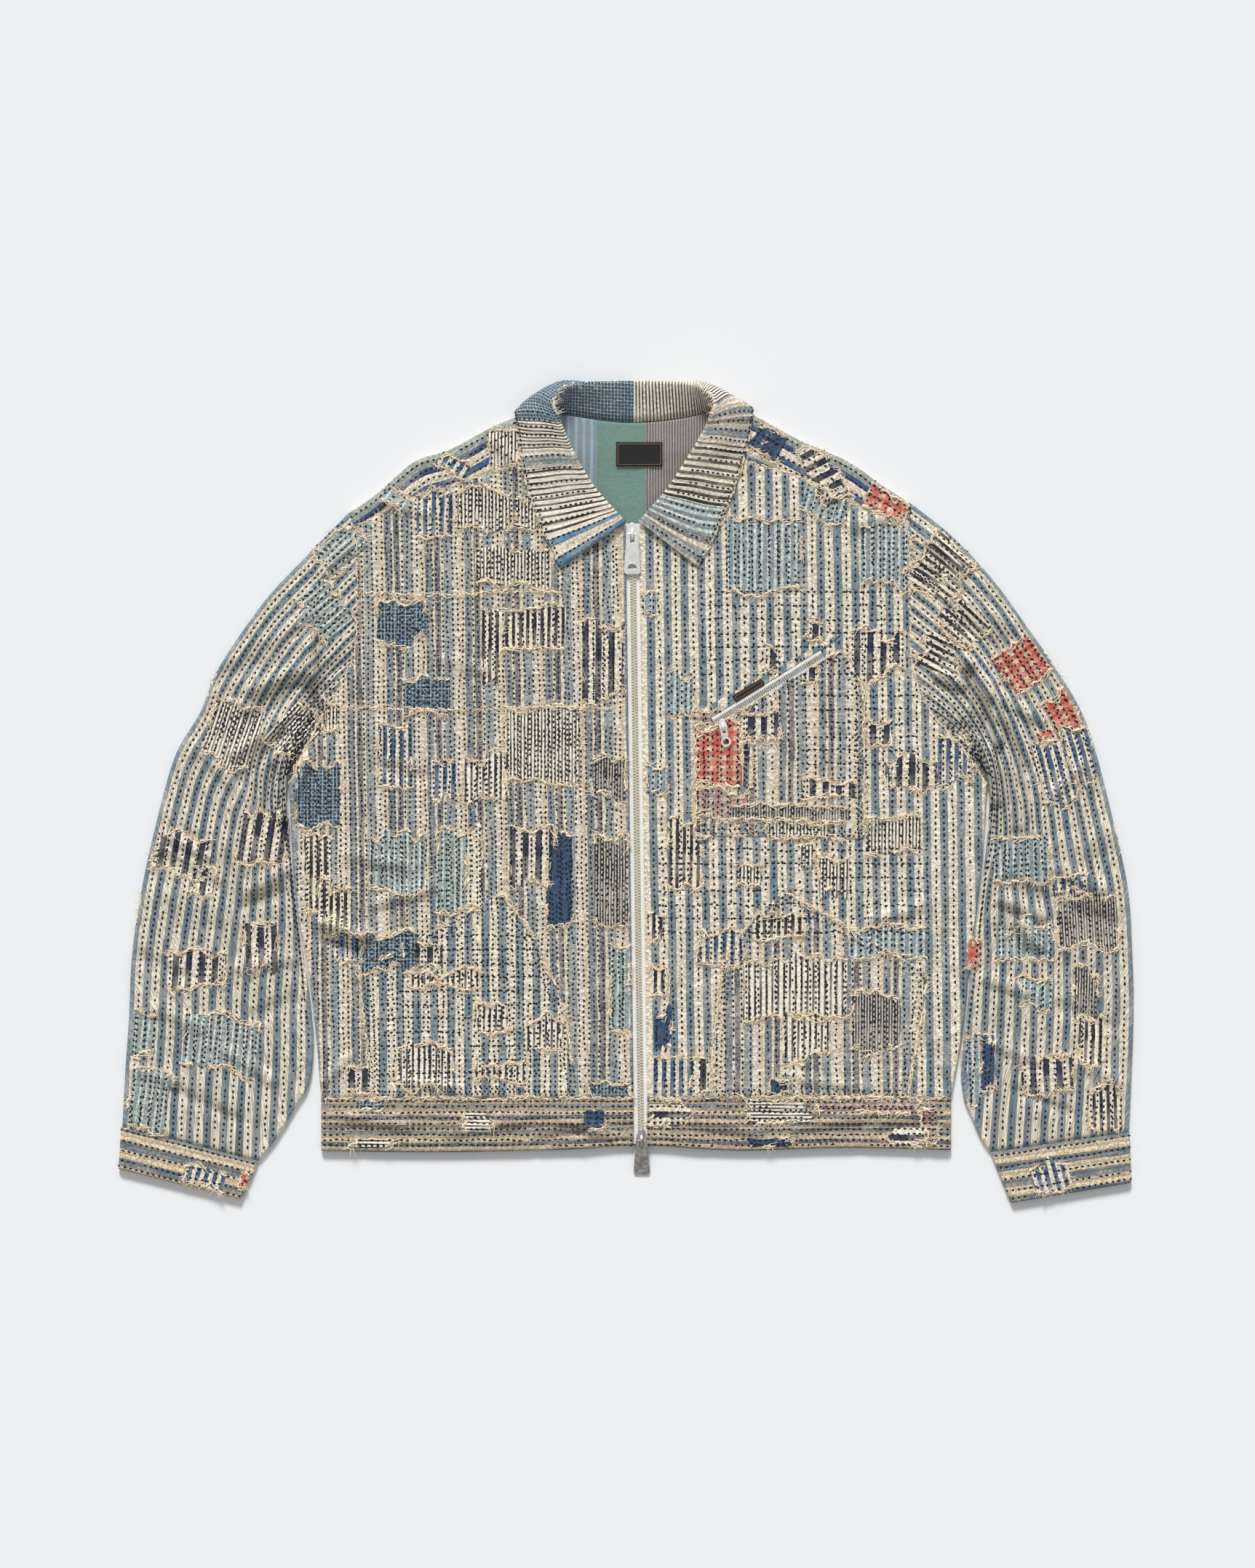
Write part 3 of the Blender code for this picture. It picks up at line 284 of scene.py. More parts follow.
# %% [markdown]
# ## Making a sheet
# `sheet` turns a grid of points into a mesh with a UV map in real cloth distance, so that a stripe
# keeps its width wherever the cloth goes. Cells with a missing corner are left out.

# %% Mesh helpers
def mesh_from(name, verts, faces, uvs):
    """A mesh with one UV pair for each vertex, and the painted shade of the creases it lies in. Sizes come
    in mm.
    """
    mesh = bpy.data.meshes.new(name)
    verts = np.array(verts, float)
    mesh.from_pydata((verts * MM).tolist(), [], faces)
    on_top = verts[:, 2] > LOWEST_TOP - 2 * DEEPEST_DIP
    # how deep a vertex lies in a crease sets how much painted shade the cloth puts there
    depth = np.clip(-soft_bumps(verts[:, 0], verts[:, 1], CREASES) / 3, 0, 1) * on_top
    mesh.attributes.new("painted_crease_shade", "FLOAT", "POINT").data.foreach_set("value", depth.astype(np.float32))
    layer = mesh.uv_layers.new(name="cloth")
    corner = np.zeros(len(mesh.loops), np.int32)
    mesh.loops.foreach_get("vertex_index", corner)
    layer.data.foreach_set("uv", (np.array(uvs, float)[corner] * MM).ravel())
    mesh.shade_smooth()
    return mesh


def linked(name, data):
    """An object for some data, linked to the scene."""
    thing = bpy.data.objects.new(name, data)
    bpy.context.scene.collection.objects.link(thing)
    return thing


def show(name, mesh, materials):
    """Link a mesh as a piece of the jacket."""
    for material in materials:
        mesh.materials.append(material)
    return linked(name, mesh)


def baked(helper):
    """The finished mesh of a helper object, which is then removed."""
    graph = bpy.context.evaluated_depsgraph_get()
    mesh = bpy.data.meshes.new_from_object(helper.evaluated_get(graph))
    bpy.data.objects.remove(helper)
    return mesh


def grid_faces(present):
    """Corner numbers of each cell whose four corners are there."""
    rows, columns = present.shape
    i, j = np.meshgrid(np.arange(rows - 1), np.arange(columns - 1), indexing="ij")
    here, above = i * columns + j, (i + 1) * columns + j
    corners = np.stack([here, here + 1, above + 1, above], -1)
    whole = present.ravel()[corners].all(axis=-1)
    return corners[whole], i[whole], j[whole]


def sheet(name, points, uv, materials, slots=None, flip=False):
    """A cloth sheet on a grid. slots gives each cell's material number."""
    present = ~np.isnan(points[..., 2])
    faces, i, j = grid_faces(present)
    if flip:
        faces = faces[:, ::-1]
    number = np.cumsum(present.ravel()) - 1
    keep = present.ravel()
    mesh = mesh_from(name, points.reshape(-1, 3)[keep], number[faces].tolist(), uv.reshape(-1, 2)[keep])
    thing = show(name, mesh, materials)
    if slots is not None:
        mesh.polygons.foreach_set("material_index", np.array(slots[i, j], np.int32))
    solid = thing.modifiers.new("wall", "SOLIDIFY")
    solid.thickness = CLOTH * MM
    solid.offset = 0
    return thing


# %% [markdown]
# ## Cloth finishes
# A cloth could be one flat colour with a bump, but old striped cotton shows its yarns: stripes
# waver, fade and carry pale flecks. So each finish is worked out from the UV map in millimetres.
# `Wire` wraps a socket, so that the arithmetic below reads as arithmetic.

# %% Shader arithmetic
class Wire:
    """A socket whose operators add Math nodes to its tree."""

    def __init__(self, tree, socket=None):
        self.tree = tree
        self.socket = socket

    def add(self, kind, settings, inputs, out=0):
        """Any node: its settings first, then the values or links of its sockets."""
        node = self.tree.nodes.new(kind)
        for key, value in settings.items():
            setattr(node, key, value)
        for key, value in inputs.items():
            if isinstance(value, Wire):
                self.tree.links.new(value.socket, node.inputs[key])
            else:
                node.inputs[key].default_value = value
        return Wire(self.tree, node.outputs[out])

    def math(self, operation, *values, clamp=False):
        settings = {"operation": operation, "use_clamp": clamp}
        return self.add("ShaderNodeMath", settings, dict(enumerate(values)))

    def __add__(self, other):
        return self.math("ADD", self, other)

    def __sub__(self, other):
        return self.math("SUBTRACT", self, other)

    def __rsub__(self, other):
        return self.math("SUBTRACT", other, self)

    def __mul__(self, other):
        return self.math("MULTIPLY", self, other)

    def __truediv__(self, other):
        return self.math("DIVIDE", self, other)

    __radd__ = __add__
    __rmul__ = __mul__

    def clamped(self):
        return self.math("ADD", self, 0.0, clamp=True)

    def above(self, level, soft):
        """0 below the level and 1 above it, with a soft step."""
        return self.math("DIVIDE", self - (level - soft / 2), soft, clamp=True)

    def mix(self, a, b):
        """This mask's blend from colour a to colour b."""
        return self.add("ShaderNodeMix", {"data_type": "RGBA"}, {0: self, 6: a, 7: b}, out=2)

    def at(self, x, y):
        return self.add("ShaderNodeCombineXYZ", {}, {0: x, 1: y})

    def noise(self, scale=1.0, detail=2.0):
        return self.add("ShaderNodeTexNoise", {}, {"Vector": self, "Scale": scale, "Detail": detail})

    def own_place(self):
        """Each place on a piece, in the piece's own coordinates."""
        return self.add("ShaderNodeTexCoord", {}, {}, out=3)

    def cloth_map(self):
        """The first direction of the cloth's UV map in millimetres, and its node."""
        place = self.add("ShaderNodeUVMap", {"uv_map": "cloth"}, {})
        split = self.add("ShaderNodeSeparateXYZ", {}, {0: place})
        return split * 1000, split.socket.node


def tint(red, green, blue):
    """A colour as it looks on screen, as the shader's linear one."""
    values = [c / 255 for c in (red, green, blue)]
    return (*[c / 12.92 if c < 0.04045 else ((c + 0.055) / 1.055) ** 2.4 for c in values], 1.0)


def new_material(name, roughness=0.9, metallic=0.0):
    material = bpy.data.materials.new(name)
    material.use_nodes = True
    shader = material.node_tree.nodes["Principled BSDF"]
    shader.inputs["Roughness"].default_value = roughness
    shader.inputs["Metallic"].default_value = metallic
    return material, shader, Wire(material.node_tree)


def join(wire, shader, socket):
    wire.tree.links.new(wire.socket, shader.inputs[socket])


def bump(height, shader, distance):
    relief = height.add("ShaderNodeBump", {}, {"Strength": 1.0, "Distance": distance, "Height": height})
    join(relief, shader, "Normal")


# %% Striped cotton
SOFT_EDGE = 0.35          # how far a stripe's edge blends into the ground
STRAW, BLEACHED, INK = (232, 212, 178), (244, 238, 222), (34, 42, 62)          # torn cloth
# an aged stain, then painted shade for the fine wrinkle lines and for the bottom of deep creases
AGE, WRINKLE_SHADE, CREASE_SHADE = (186, 164, 132), (104, 92, 80), (50, 42, 36)


def from_nearest(across, period, centre=0.0):
    """Distance from the middle of the nearest repeat."""
    turn = (across - centre) / period + 0.5
    away = turn.math("FRACT", turn) - 0.5
    return away.math("ABSOLUTE", away) * period


def stripe(across, period, centre, width):
    """1 on each stripe of a repeat."""
    away = from_nearest(across, period, centre)
    return away.math("DIVIDE", width / 2 - away + SOFT_EDGE / 2, SOFT_EDGE, clamp=True)


def cotton(name, ground, stripes=(), cross=(), waver=0.5, fleck=0.4, shred=0.0, quilt=ROW_GAP,
           fade=0.35, crumple=1.0):
    """Striped cotton: stripes run along the cloth's second direction, cross ones along the first.

    waver is how far the stripes wander in mm, fleck how many pale yarns show, shred how torn the
    surface is, quilt the spacing of the stitching that gathers it, fade the washed-out share, and
    crumple how strong the fine wrinkles and their painted shade are. Crease bottoms get painted shade.
    """
    material, shader, wire = new_material(name)
    shader.inputs["Sheen Weight"].default_value = 0.12
    u, split = wire.cloth_map()
    v = Wire(wire.tree, split.outputs[1]) * 1000
    slow = wire.at(u * 0.02, v * 0.014).noise(1.0, 3.0)
    slub = wire.at(u * 0.3, v * 0.11).noise(1.0, 2.0)
    across = u + (slow - 0.5) * (5 * waver) + (slub - 0.5) * (1.6 * waver)
    along = v + (slub - 0.5) * (1.6 * waver)
    warp = wire.at(u * 2.2, v * 0.22).noise(1.0, 2.0)
    weft = wire.at(u * 0.3, v * 2.0).noise(1.0, 2.0)
    grain = wire.at(u * 1.1, v * 1.1).noise(1.0, 1.0)
    washed = wire.at(u * 0.035, v * 0.03).noise(1.0, 3.0).above(0.56, 0.25) * fade
    pale = (warp * 0.5 + weft * 0.5).above(0.66 - 0.1 * fleck, 0.14) * fleck
    folded = wire.at(u * 0.16, v * 0.2).noise(1.0, 5.0) - 0.5
    wrinkle = 1 - (folded.math("ABSOLUTE", folded) * 22).clamped()
    strength = (1 - washed) * (1 - pale)
    colour = wire.add("ShaderNodeRGB", {}, {})
    colour.socket.default_value = tint(*ground)
    for period, centre, width, shade in stripes:
        colour = (stripe(across, period, centre, width) * strength).mix(colour, tint(*shade))
    for period, centre, width, shade in cross:
        colour = (stripe(along, period, centre, width) * strength * 0.8).mix(colour, tint(*shade))
    if not stripes:
        colour = (pale * 0.8).mix(colour, tint(*[min(255, c + 70) for c in ground]))
    height = grain * 0.5 + warp * 0.3 + weft * 0.3 - wrinkle * (0.9 * crumple) + folded * (3.5 * crumple)
    if shred:
        torn = wire.at(u * 0.16, v * 0.7).noise(1.0, 4.0)
        bare = torn.above(0.62 - 0.06 * shred, 0.08) * (0.6 * shred)
        colour = bare.mix(colour, tint(*STRAW))
        wisp = wire.at(u * 0.9, v * 3.1).noise(1.0, 1.0)
        colour = (wisp.above(0.66, 0.05) * shred).mix(colour, tint(*BLEACHED))
        colour = ((1 - wisp).above(0.64, 0.06) * (0.95 * shred)).mix(colour, tint(*INK))
        height = height + torn * (1.4 * shred) + wisp * (0.5 * shred)
    shade = wire.at(u * 0.09, v * 0.07).noise(1.0, 3.0)
    colour = (((shade - 0.38) * 1.1).clamped() * 0.24).mix(colour, tint(*AGE))
    # painted shade along the fine wrinkle lines
    colour = (wrinkle * (0.2 * crumple)).mix(colour, tint(*WRINKLE_SHADE))
    # painted shade at the bottom of deep creases, read from the mesh's attribute
    painted_crease_shade = wire.add("ShaderNodeAttribute", {"attribute_name": "painted_crease_shade"}, {}, out=2)
    colour = (painted_crease_shade * 0.22).mix(colour, tint(*CREASE_SHADE))
    if quilt:
        away = from_nearest(u, quilt)
        dip = away.math("SUBTRACT", 1.0, away / 2.2, clamp=True)
        ripple = v.math("SINE", v * (math.tau / 5.6) + slow * 30) * 0.5 + 0.5
        height = height - dip * (0.5 + 0.9 * ripple)
    join(colour, shader, "Base Color")
    join(0.8 + grain * 0.16, shader, "Roughness")
    bump(height, shader, 0.0007)
    return material


CREAM, PALE_CREAM = (250, 238, 214), (252, 243, 222)
COTTONS = {  # the stripes are (repeat, middle, width, colour)
    "striped": cotton("blue_striped_cotton", CREAM, [(15.5, 0, 7.4, (120, 142, 155))],
                      waver=0.45, fleck=0.35),
    "worn": cotton("worn_striped_cotton", CREAM, [
        (36, 2.5, 5.2, (44, 66, 98)), (36, 12, 8, (128, 152, 164)), (36, 19.5, 3.8, (252, 244, 226)),
        (36, 24.5, 2.6, (244, 218, 186)), (36, 30.5, 6.5, (86, 116, 140))],
        waver=0.9, fleck=0.85, shred=0.75, quilt=4.6),
    "sky": cotton("sky_fine_stripe", (148, 168, 174), [(6.2, 0, 2.4, (232, 236, 224))],
                  fleck=0.2, shred=0.08),
    "green": cotton("green_fine_stripe", (158, 176, 174), [(5.6, 0, 1.9, (232, 234, 220))],
                    fleck=0.2, shred=0.08),
    "navy": cotton("navy_bars", (250, 240, 218), [(11.8, 0, 5.6, (27, 40, 70))], fleck=0.25),
    "blue": cotton("blue_stripe", (250, 240, 220), [(7.6, 0, 3.9, (62, 96, 132))], fleck=0.35),
    "bold": cotton("bold_black_stripe", CREAM, [(6.4, 0, 3.0, (28, 32, 46))], fleck=0.15, crumple=0.6),
    "black": cotton("fine_black_stripe", PALE_CREAM, [(3.1, 0, 1.4, (26, 28, 38))],
                    fleck=0.05, waver=0.3, crumple=0.4, quilt=12),
    "pin": cotton("thin_black_lines", PALE_CREAM, [(5.3, 0, 1.9, (36, 38, 48))],
                  fleck=0.1, waver=0.35, crumple=0.5, quilt=12),
    "dark": cotton("dark_fine_stripe", (222, 214, 196), [(2.5, 0, 1.5, (30, 34, 46))],
                   fleck=0.15, waver=0.35, crumple=0.5, quilt=12),
    "indigo": cotton("indigo_plain", (42, 74, 112), fleck=0.6),
    "check": cotton("blue_check", (52, 82, 108), [(3.2, 0, 0.8, (180, 200, 204))],
                    [(3.2, 0, 0.8, (180, 200, 204))], waver=0.5),
    "red": cotton("red_check", (240, 212, 180), [(12, 0, 6.6, (232, 128, 108))],
                  [(9, 0, 4.8, (212, 76, 68))], fleck=0.3, shred=0.2),
    "pink": cotton("faded_red_check", (226, 202, 180), [(12, 0, 6, (214, 150, 138))],
                   [(9, 0, 4, (138, 132, 148))], waver=0.9, fleck=0.8, shred=0.8, quilt=4.6),
    "cuff": cotton("worn_cuff_stripe", (234, 214, 180), [(15.5, 0, 7.4, (106, 124, 134))],
                   waver=0.7, fleck=0.5, shred=0.3),
    "cream": cotton("plain_cream", (250, 240, 218), fleck=0.2),
    "tip": cotton("bright_blue_stripe", CREAM, [(12.5, 3, 6.0, (92, 138, 174))], fleck=0.3),
    "shoulder": cotton("shoulder_bands", CREAM, [
        (70, 5, 10, (150, 164, 160)), (70, 3, 1, (214, 214, 198)), (70, 6.4, 1, (214, 214, 198)),
        (70, 12.5, 6.5, (44, 76, 124)), (70, 27.5, 6.5, (56, 90, 138)), (70, 42, 6, (124, 147, 163)),
        (70, 56, 6, (124, 147, 163))], waver=0.3, fleck=0.35),
    "lining_green": cotton("faded_green_lining", (112, 144, 135), fleck=0.5, quilt=0, crumple=0.15),
    "lining_blue": cotton("faded_blue_lining", (132, 152, 166), [(7, 0, 2.6, (168, 182, 188))],
                          quilt=0, crumple=0.15),
    "lining_grey": cotton("grey_pinstripe_lining", (116, 108, 110), [(2.5, 0, 0.8, (190, 182, 176))],
                          quilt=0, waver=0.3, fleck=0.15, crumple=0.15),
    "hem": cotton("worn_hem_bands", (210, 188, 154), [
        (23, 2, 3.4, (40, 58, 88)), (23, 7.5, 3.6, (104, 126, 138)), (23, 12.4, 2.2, (244, 228, 200)),
        (23, 17.5, 4.0, (62, 88, 112))], waver=0.9, fleck=0.85, shred=0.8, quilt=6.0),
}
print("cotton finishes:", len(COTTONS))

# %% Threads, tape, label and metal
def thread(name, shade, other):
    """A thread whose colour varies a little from one to the next."""
    material, shader, wire = new_material(name, 0.9)
    blend = wire.own_place().noise(900.0, 1.0).above(0.5, 0.3)
    join(blend.mix(tint(*shade), tint(*other)), shader, "Base Color")
    return material


STITCH = thread("navy_stitching_thread", (10, 12, 20), (26, 30, 44))
FRAY = thread("frayed_cream_yarn", (254, 245, 224), (232, 208, 172))


def tape_finish():
    material, shader, wire = new_material("white_zip_tape", 0.85)
    grain = wire.own_place().noise(1500.0, 1.0)
    join(grain.above(0.5, 0.5).mix(tint(232, 231, 222), tint(246, 245, 240)), shader, "Base Color")
    bump(grain, shader, 0.0003)
    return material


def label_finish():
    """Bare black weave with a plain tan line inside its edge, read from the cloth's own map."""
    material, shader, wire = new_material("bare_black_label", 0.8)
    inset, _ = wire.cloth_map()
    grain = wire.own_place().noise(1800.0, 1.0)
    line = inset.above(1.4, 0.2) * (1 - inset.above(1.9, 0.2)) * grain.above(0.35, 0.1)
    join((line * 0.75).mix(tint(24, 22, 22), tint(150, 112, 58)), shader, "Base Color")
    bump(grain, shader, 0.0002)
    return material


def metal(name, shade, dull, roughness, wear, metallic):
    material, shader, wire = new_material(name, roughness, metallic)
    spot = wire.own_place()
    patches = spot.noise(260.0, 4.0)
    join((patches.above(0.52, 0.2) * wear).mix(tint(*shade), tint(*dull)), shader, "Base Color")
    join(roughness + patches * 0.15, shader, "Roughness")
    bump(spot.noise(1400.0, 2.0), shader, 0.00006)
    return material


TAPE = tape_finish()
LABEL = label_finish()
TEETH = metal("silver_teeth", (226, 222, 208), (214, 198, 160), 0.35, 0.7, 0.35)
BRIGHT = metal("bright_silver_metal", (240, 240, 238), (222, 222, 220), 0.25, 0.5, 0.4)
AGED = metal("aged_nickel_metal", (186, 182, 178), (120, 114, 108), 0.3, 0.7, 0.75)

# %% [markdown]
# ## Fronts and back
# A front could be draped with cloth physics, but it must stay on its solid. So it is a Coons patch
# between hem, zip, neck and side, with extra columns that turn down round the side fold. The back
# meets it there. Above the underarm both end flat at the armhole.

# %% Fronts
TURN_DOWN = np.linspace(90, 2, 9)[1:]


def arm_edge(armhole, column, low_count, high_count):
    """The side of a panel from the waistband up to the top of the armhole."""
    side = smooth([(row[column], row[0]) for row in SIDE], low_count)
    return np.vstack([side, smooth(armhole, high_count)[1:]])


def arm_blend(y):
    """0 where a panel turns round the side fold, 1 where it lies flat at the armhole."""
    t = np.clip((y - SIDE[-1][0]) / 18, 0, 1)
    return t * t * (3 - 2 * t)


def side_turn(edge, away, angles, height):
    """Columns beyond a panel's side: round the fold below the arm and flat beside it."""
    outward = np.array([away, 0.0])
    turned = half_turn(edge, np.tile(outward, (len(edge), 1)), angles)
    inset = edge - outward * ROLL
    reach = np.cos(np.radians(angles))
    flat = inset[:, None] + outward * ROLL * reach[None, :, None]
    flat = raised(flat, height)
    blend = arm_blend(edge[:, 1])[:, None, None]
    return turned * (1 - blend) + flat * blend


def front(name, away, column, armhole, neck, seam, finish):
    edge = arm_edge(armhole[:-1], column, 94, 80)
    climb = (edge[:, 1] - HEM_SEAM_Y) / (edge[-1, 1] - HEM_SEAM_Y)
    y = HEM_SEAM_Y + climb * (neck[0][1] - HEM_SEAM_Y)
    centre = np.column_stack([zip_x(y) + away * ZIP_HALF_OPENING, y])
    inset = edge - [away * ROLL, 0]
    head = np.vstack([smooth(neck, 34), smooth(seam, 60)[1:]])
    centre[-1], head[-1] = head[0], inset[-1]
    foot = even([centre[0], inset[0]], len(head))
    place = coons(foot, head, centre, inset, climb)
    main = raised(place, upper)
    turn = side_turn(edge, away, TURN_DOWN, upper)
    points = np.concatenate([main, turn], axis=1)
    arc = ROLL * np.radians(90 - TURN_DOWN)[None]
    u = np.concatenate([place[..., 0] - zip_x(place[..., 1]),
                        inset[:, :1] - zip_x(inset[:, 1:]) + away * arc], axis=1)
    uv = np.stack([u, points[..., 1]], axis=2)
    return sheet(name, points, uv, [COTTONS[finish]], flip=away < 0)


front_right = front("cloth_front_right", -1, 1, ARMHOLE_RIGHT, NECK_RIGHT, SEAM_RIGHT, "worn")
front_left = front("cloth_front_left", 1, 2, ARMHOLE_LEFT, NECK_LEFT, SEAM_LEFT, "striped")
print("front cells:", len(front_right.data.polygons), len(front_left.data.polygons))

# %% Back
def back():
    right = arm_edge(ARMHOLE_RIGHT[:5], 1, 58, 32)
    left = arm_edge(ARMHOLE_LEFT[:5], 2, 58, 32)
    turn_right = side_turn(right, -1, -TURN_DOWN, lower)[:, ::-1]
    turn_left = side_turn(left, 1, -TURN_DOWN, lower)
    start, end = right + [ROLL, 0], left - [ROLL, 0]
    share = np.linspace(0, 1, 108)[None, :, None]
    place = start[:, None] * (1 - share) + end[:, None] * share
    main = raised(place, lower)
    arc = ROLL * np.radians(90 - TURN_DOWN)[None]
    u = np.concatenate([start[:, :1] - arc[:, ::-1], place[..., 0], end[:, :1] + arc], axis=1)
    points = np.concatenate([turn_right, main, turn_left], axis=1)
    uv = np.stack([u, points[..., 1]], axis=2)
    return sheet("cloth_back", points, uv, [COTTONS["striped"]])


back_panel = back()

# %% [markdown]
# ## Yoke
# The yoke is one piece from the back seam, over the shoulders, down to the front seams. Its inside
# shows in the neck opening, where it is pieced from three faded cloths. The pieces could be sheets
# of their own, but flat pieces sewn edge to edge show the same as a change of finish with a seam
# line, which is simpler.

# %% Yoke
WAY, OVER, DOWN = 38, 9, 14       # rows up the back, round the shoulder fold and down to the seam


def wing(armhole, fold, seam, neck_corner, away):
    """Columns of the yoke over one shoulder, from the neck outward."""
    shares = np.linspace(0, 1, 50)
    fold, seam = smooth(fold, shares), smooth(seam, shares)
    tangent = unit(np.gradient(fold, axis=0))
    normal = np.column_stack([tangent[:, 1], -tangent[:, 0]]) * -away
    lead = np.clip(shares * 4, 0, 1)[:, None]
    ahead = unit(normal * lead + np.array([0, 1.0]) * (1 - lead))
    tip = fold[-1] - ROLL * ahead[-1]
    beside_arm = smooth([*armhole[4:7], tip], WAY)
    turn = half_turn(fold, ahead, np.linspace(-90, 90, OVER))
    columns, uvs = [], []
    for k, share in enumerate(shares):
        back_x = neck_corner[0] * (1 - share) + armhole[4][0] * share
        straight = even([(back_x, YOKE_SEAM_Y), turn[k, 0, :2]], WAY)
        way = straight * (1 - share ** 3) + beside_arm * share ** 3
        front_way = even([turn[k, -1, :2], seam[k]], DOWN)
        swing = np.sin(np.linspace(0, math.pi, DOWN)) * 5.0 * (1 - share) ** 6
        front_way[:, 0] += away * swing
        column = np.vstack([raised(way, lower), turn[k, 1:-1], raised(front_way, upper)])
        drop = lengths(column[:, :2])
        from_fold = drop - drop[WAY + OVER // 2]
        columns.append(column)
        uvs.append(np.column_stack([from_fold, np.full(len(column), share * 190 * away)]))
    return columns, uvs


LINING_SEAMS = (-41, 6)


def yoke():
    right, right_uv = wing(ARMHOLE_RIGHT, FOLD_RIGHT, SEAM_RIGHT, NECK_BACK[0], -1)
    left, left_uv = wing(ARMHOLE_LEFT, FOLD_LEFT, SEAM_LEFT, NECK_BACK[-1], 1)
    rows = len(right[0])
    middle, middle_uv = [], []
    for x, y in smooth(NECK_BACK, 40)[1:-1]:
        column = np.full((rows, 3), np.nan)
        ys = np.concatenate([np.linspace(YOKE_SEAM_Y, y - ROLL, WAY), [y - 0.3]])
        seam_ridge = 0.8 * sum(np.exp(-((x - line) / 2.5) ** 2) for line in LINING_SEAMS)
        column[:WAY + 1] = np.column_stack([np.full(WAY + 1, x), ys, lower(x, ys) + seam_ridge])
        middle.append(column)
        middle_uv.append(np.column_stack([np.full(rows, x), column[:, 1]]))
    points = np.array(right[::-1] + middle + left)
    uv = np.array(right_uv[::-1] + middle_uv + left_uv)
    x = points[:, 0, 0]
    lining = np.where(x < LINING_SEAMS[0], 1, np.where(x < LINING_SEAMS[1], 2, 3))
    slots = np.tile(lining[:, None], (1, rows))
    slots[:, WAY:] = 0
    slots[np.abs(x + 4) > 95, :] = 0
    return sheet("cloth_yoke", points, uv, [COTTONS[k] for k in (
        "shoulder", "lining_blue", "lining_green", "lining_grey")], slots=slots, flip=True)


yoke_panel = yoke()
print("yoke cells:", len(yoke_panel.data.polygons))

# %% [markdown]
# ## Sleeves, cuffs and waistband
# A sleeve is a flattened tube. Each ring runs along the top, round the inner fold and back
# underneath, and the stripes follow the outer fold. Cuffs are short tubes whose stripes run
# round them, and the waistband is a strip that turns round both sides.

# %% Flattened tubes
HALF_TURN = np.linspace(-90, 90, 9)


def travelled(path):
    """Distance along each row of places."""
    steps = np.linalg.norm(np.diff(path, axis=1), axis=2)
    return np.concatenate([np.zeros((len(path), 1)), np.cumsum(steps, axis=1)], axis=1)


def tube(name, lines, finish, stripes_round=False):
    start, end = unit(lines[:, 0] - lines[:, 1]), unit(lines[:, -1] - lines[:, -2])
    outer = half_turn(lines[:, 0], start, HALF_TURN)
    inner = half_turn(lines[:, -1], end, HALF_TURN[::-1])
    top, bottom = raised(lines[:, 1:-1], upper), raised(lines[:, -2:1:-2], lower)
    points = np.concatenate([outer, top, inner, bottom, outer[:, :1]], axis=1)
    arc = ROLL * np.linspace(0, math.pi, 9)
    flat = travelled(np.concatenate([outer[:, -1:, :2], top[..., :2], inner[:, :1, :2]], axis=1)) + ROLL
    under = travelled(np.concatenate([inner[:, -1:, :2], bottom[..., :2], outer[:, :1, :2]], axis=1))
    turned = flat[:, -1:] + arc
    round_ring = np.concatenate([ROLL - arc[::-1] + 0 * flat[:, :1], flat[:, 1:-1], turned,
                                 turned[:, -1:] + under[:, 1:]], axis=1)
    share = np.linspace(0, 1, lines.shape[1])
    along = travelled(lines.transpose(1, 0, 2)).T
    across = np.clip(round_ring, 0, flat[:, -1:]) / flat[:, -1:]
    down = np.array([np.interp(across[k], share, along[k]) for k in range(len(lines))])
    uv = np.stack([down, round_ring] if stripes_round else [round_ring, down], axis=2)
    return sheet(name, points, uv, [COTTONS[finish]], flip=lines[0, 0, 0] > 0)


def sleeve_lines(armhole, outer, inner):
    """Lines across the sleeve from its outer fold to its inner one, from armhole to wrist."""
    share = np.linspace(0, 1, 48)[:, None]
    seam = smooth(armhole[::-1], 48)
    seam = seam + (np.array(inner[0], float) - seam[-1]) * share ** 8
    steps = np.linspace(0, 1, 172)
    outer, inner = smooth(outer, steps), smooth(inner, steps ** 1.7)
    outer[0] = seam[0]
    bulge = seam - (seam[:1] * (1 - share) + seam[-1:] * share)
    fade = np.clip(1 - steps / 0.35, 0, 1) ** 2
    return outer[:, None] * (1 - share) + inner[:, None] * share + bulge * fade[:, None, None]


def cuff_lines(corners):
    outer, inner, inner_foot, outer_foot = np.array(corners, float)
    sides = zip(even([outer, outer_foot], 14), even([inner, inner_foot], 14))
    return np.array([even([a, b], 44) for a, b in sides])


SLEEVE_LINES = {"right": sleeve_lines(ARMHOLE_RIGHT, SLEEVE_OUTER_RIGHT, SLEEVE_INNER_RIGHT),
                "left": sleeve_lines(ARMHOLE_LEFT, SLEEVE_OUTER_LEFT, SLEEVE_INNER_LEFT)}
CUFF_LINES = {"right": cuff_lines(CUFF_RIGHT), "left": cuff_lines(CUFF_LEFT)}
sleeves = [tube(f"cloth_sleeve_{side}", lines, "striped") for side, lines in SLEEVE_LINES.items()]
cuffs = [tube(f"cloth_cuff_{side}", lines, "cuff", stripes_round=True)
         for side, lines in CUFF_LINES.items()]

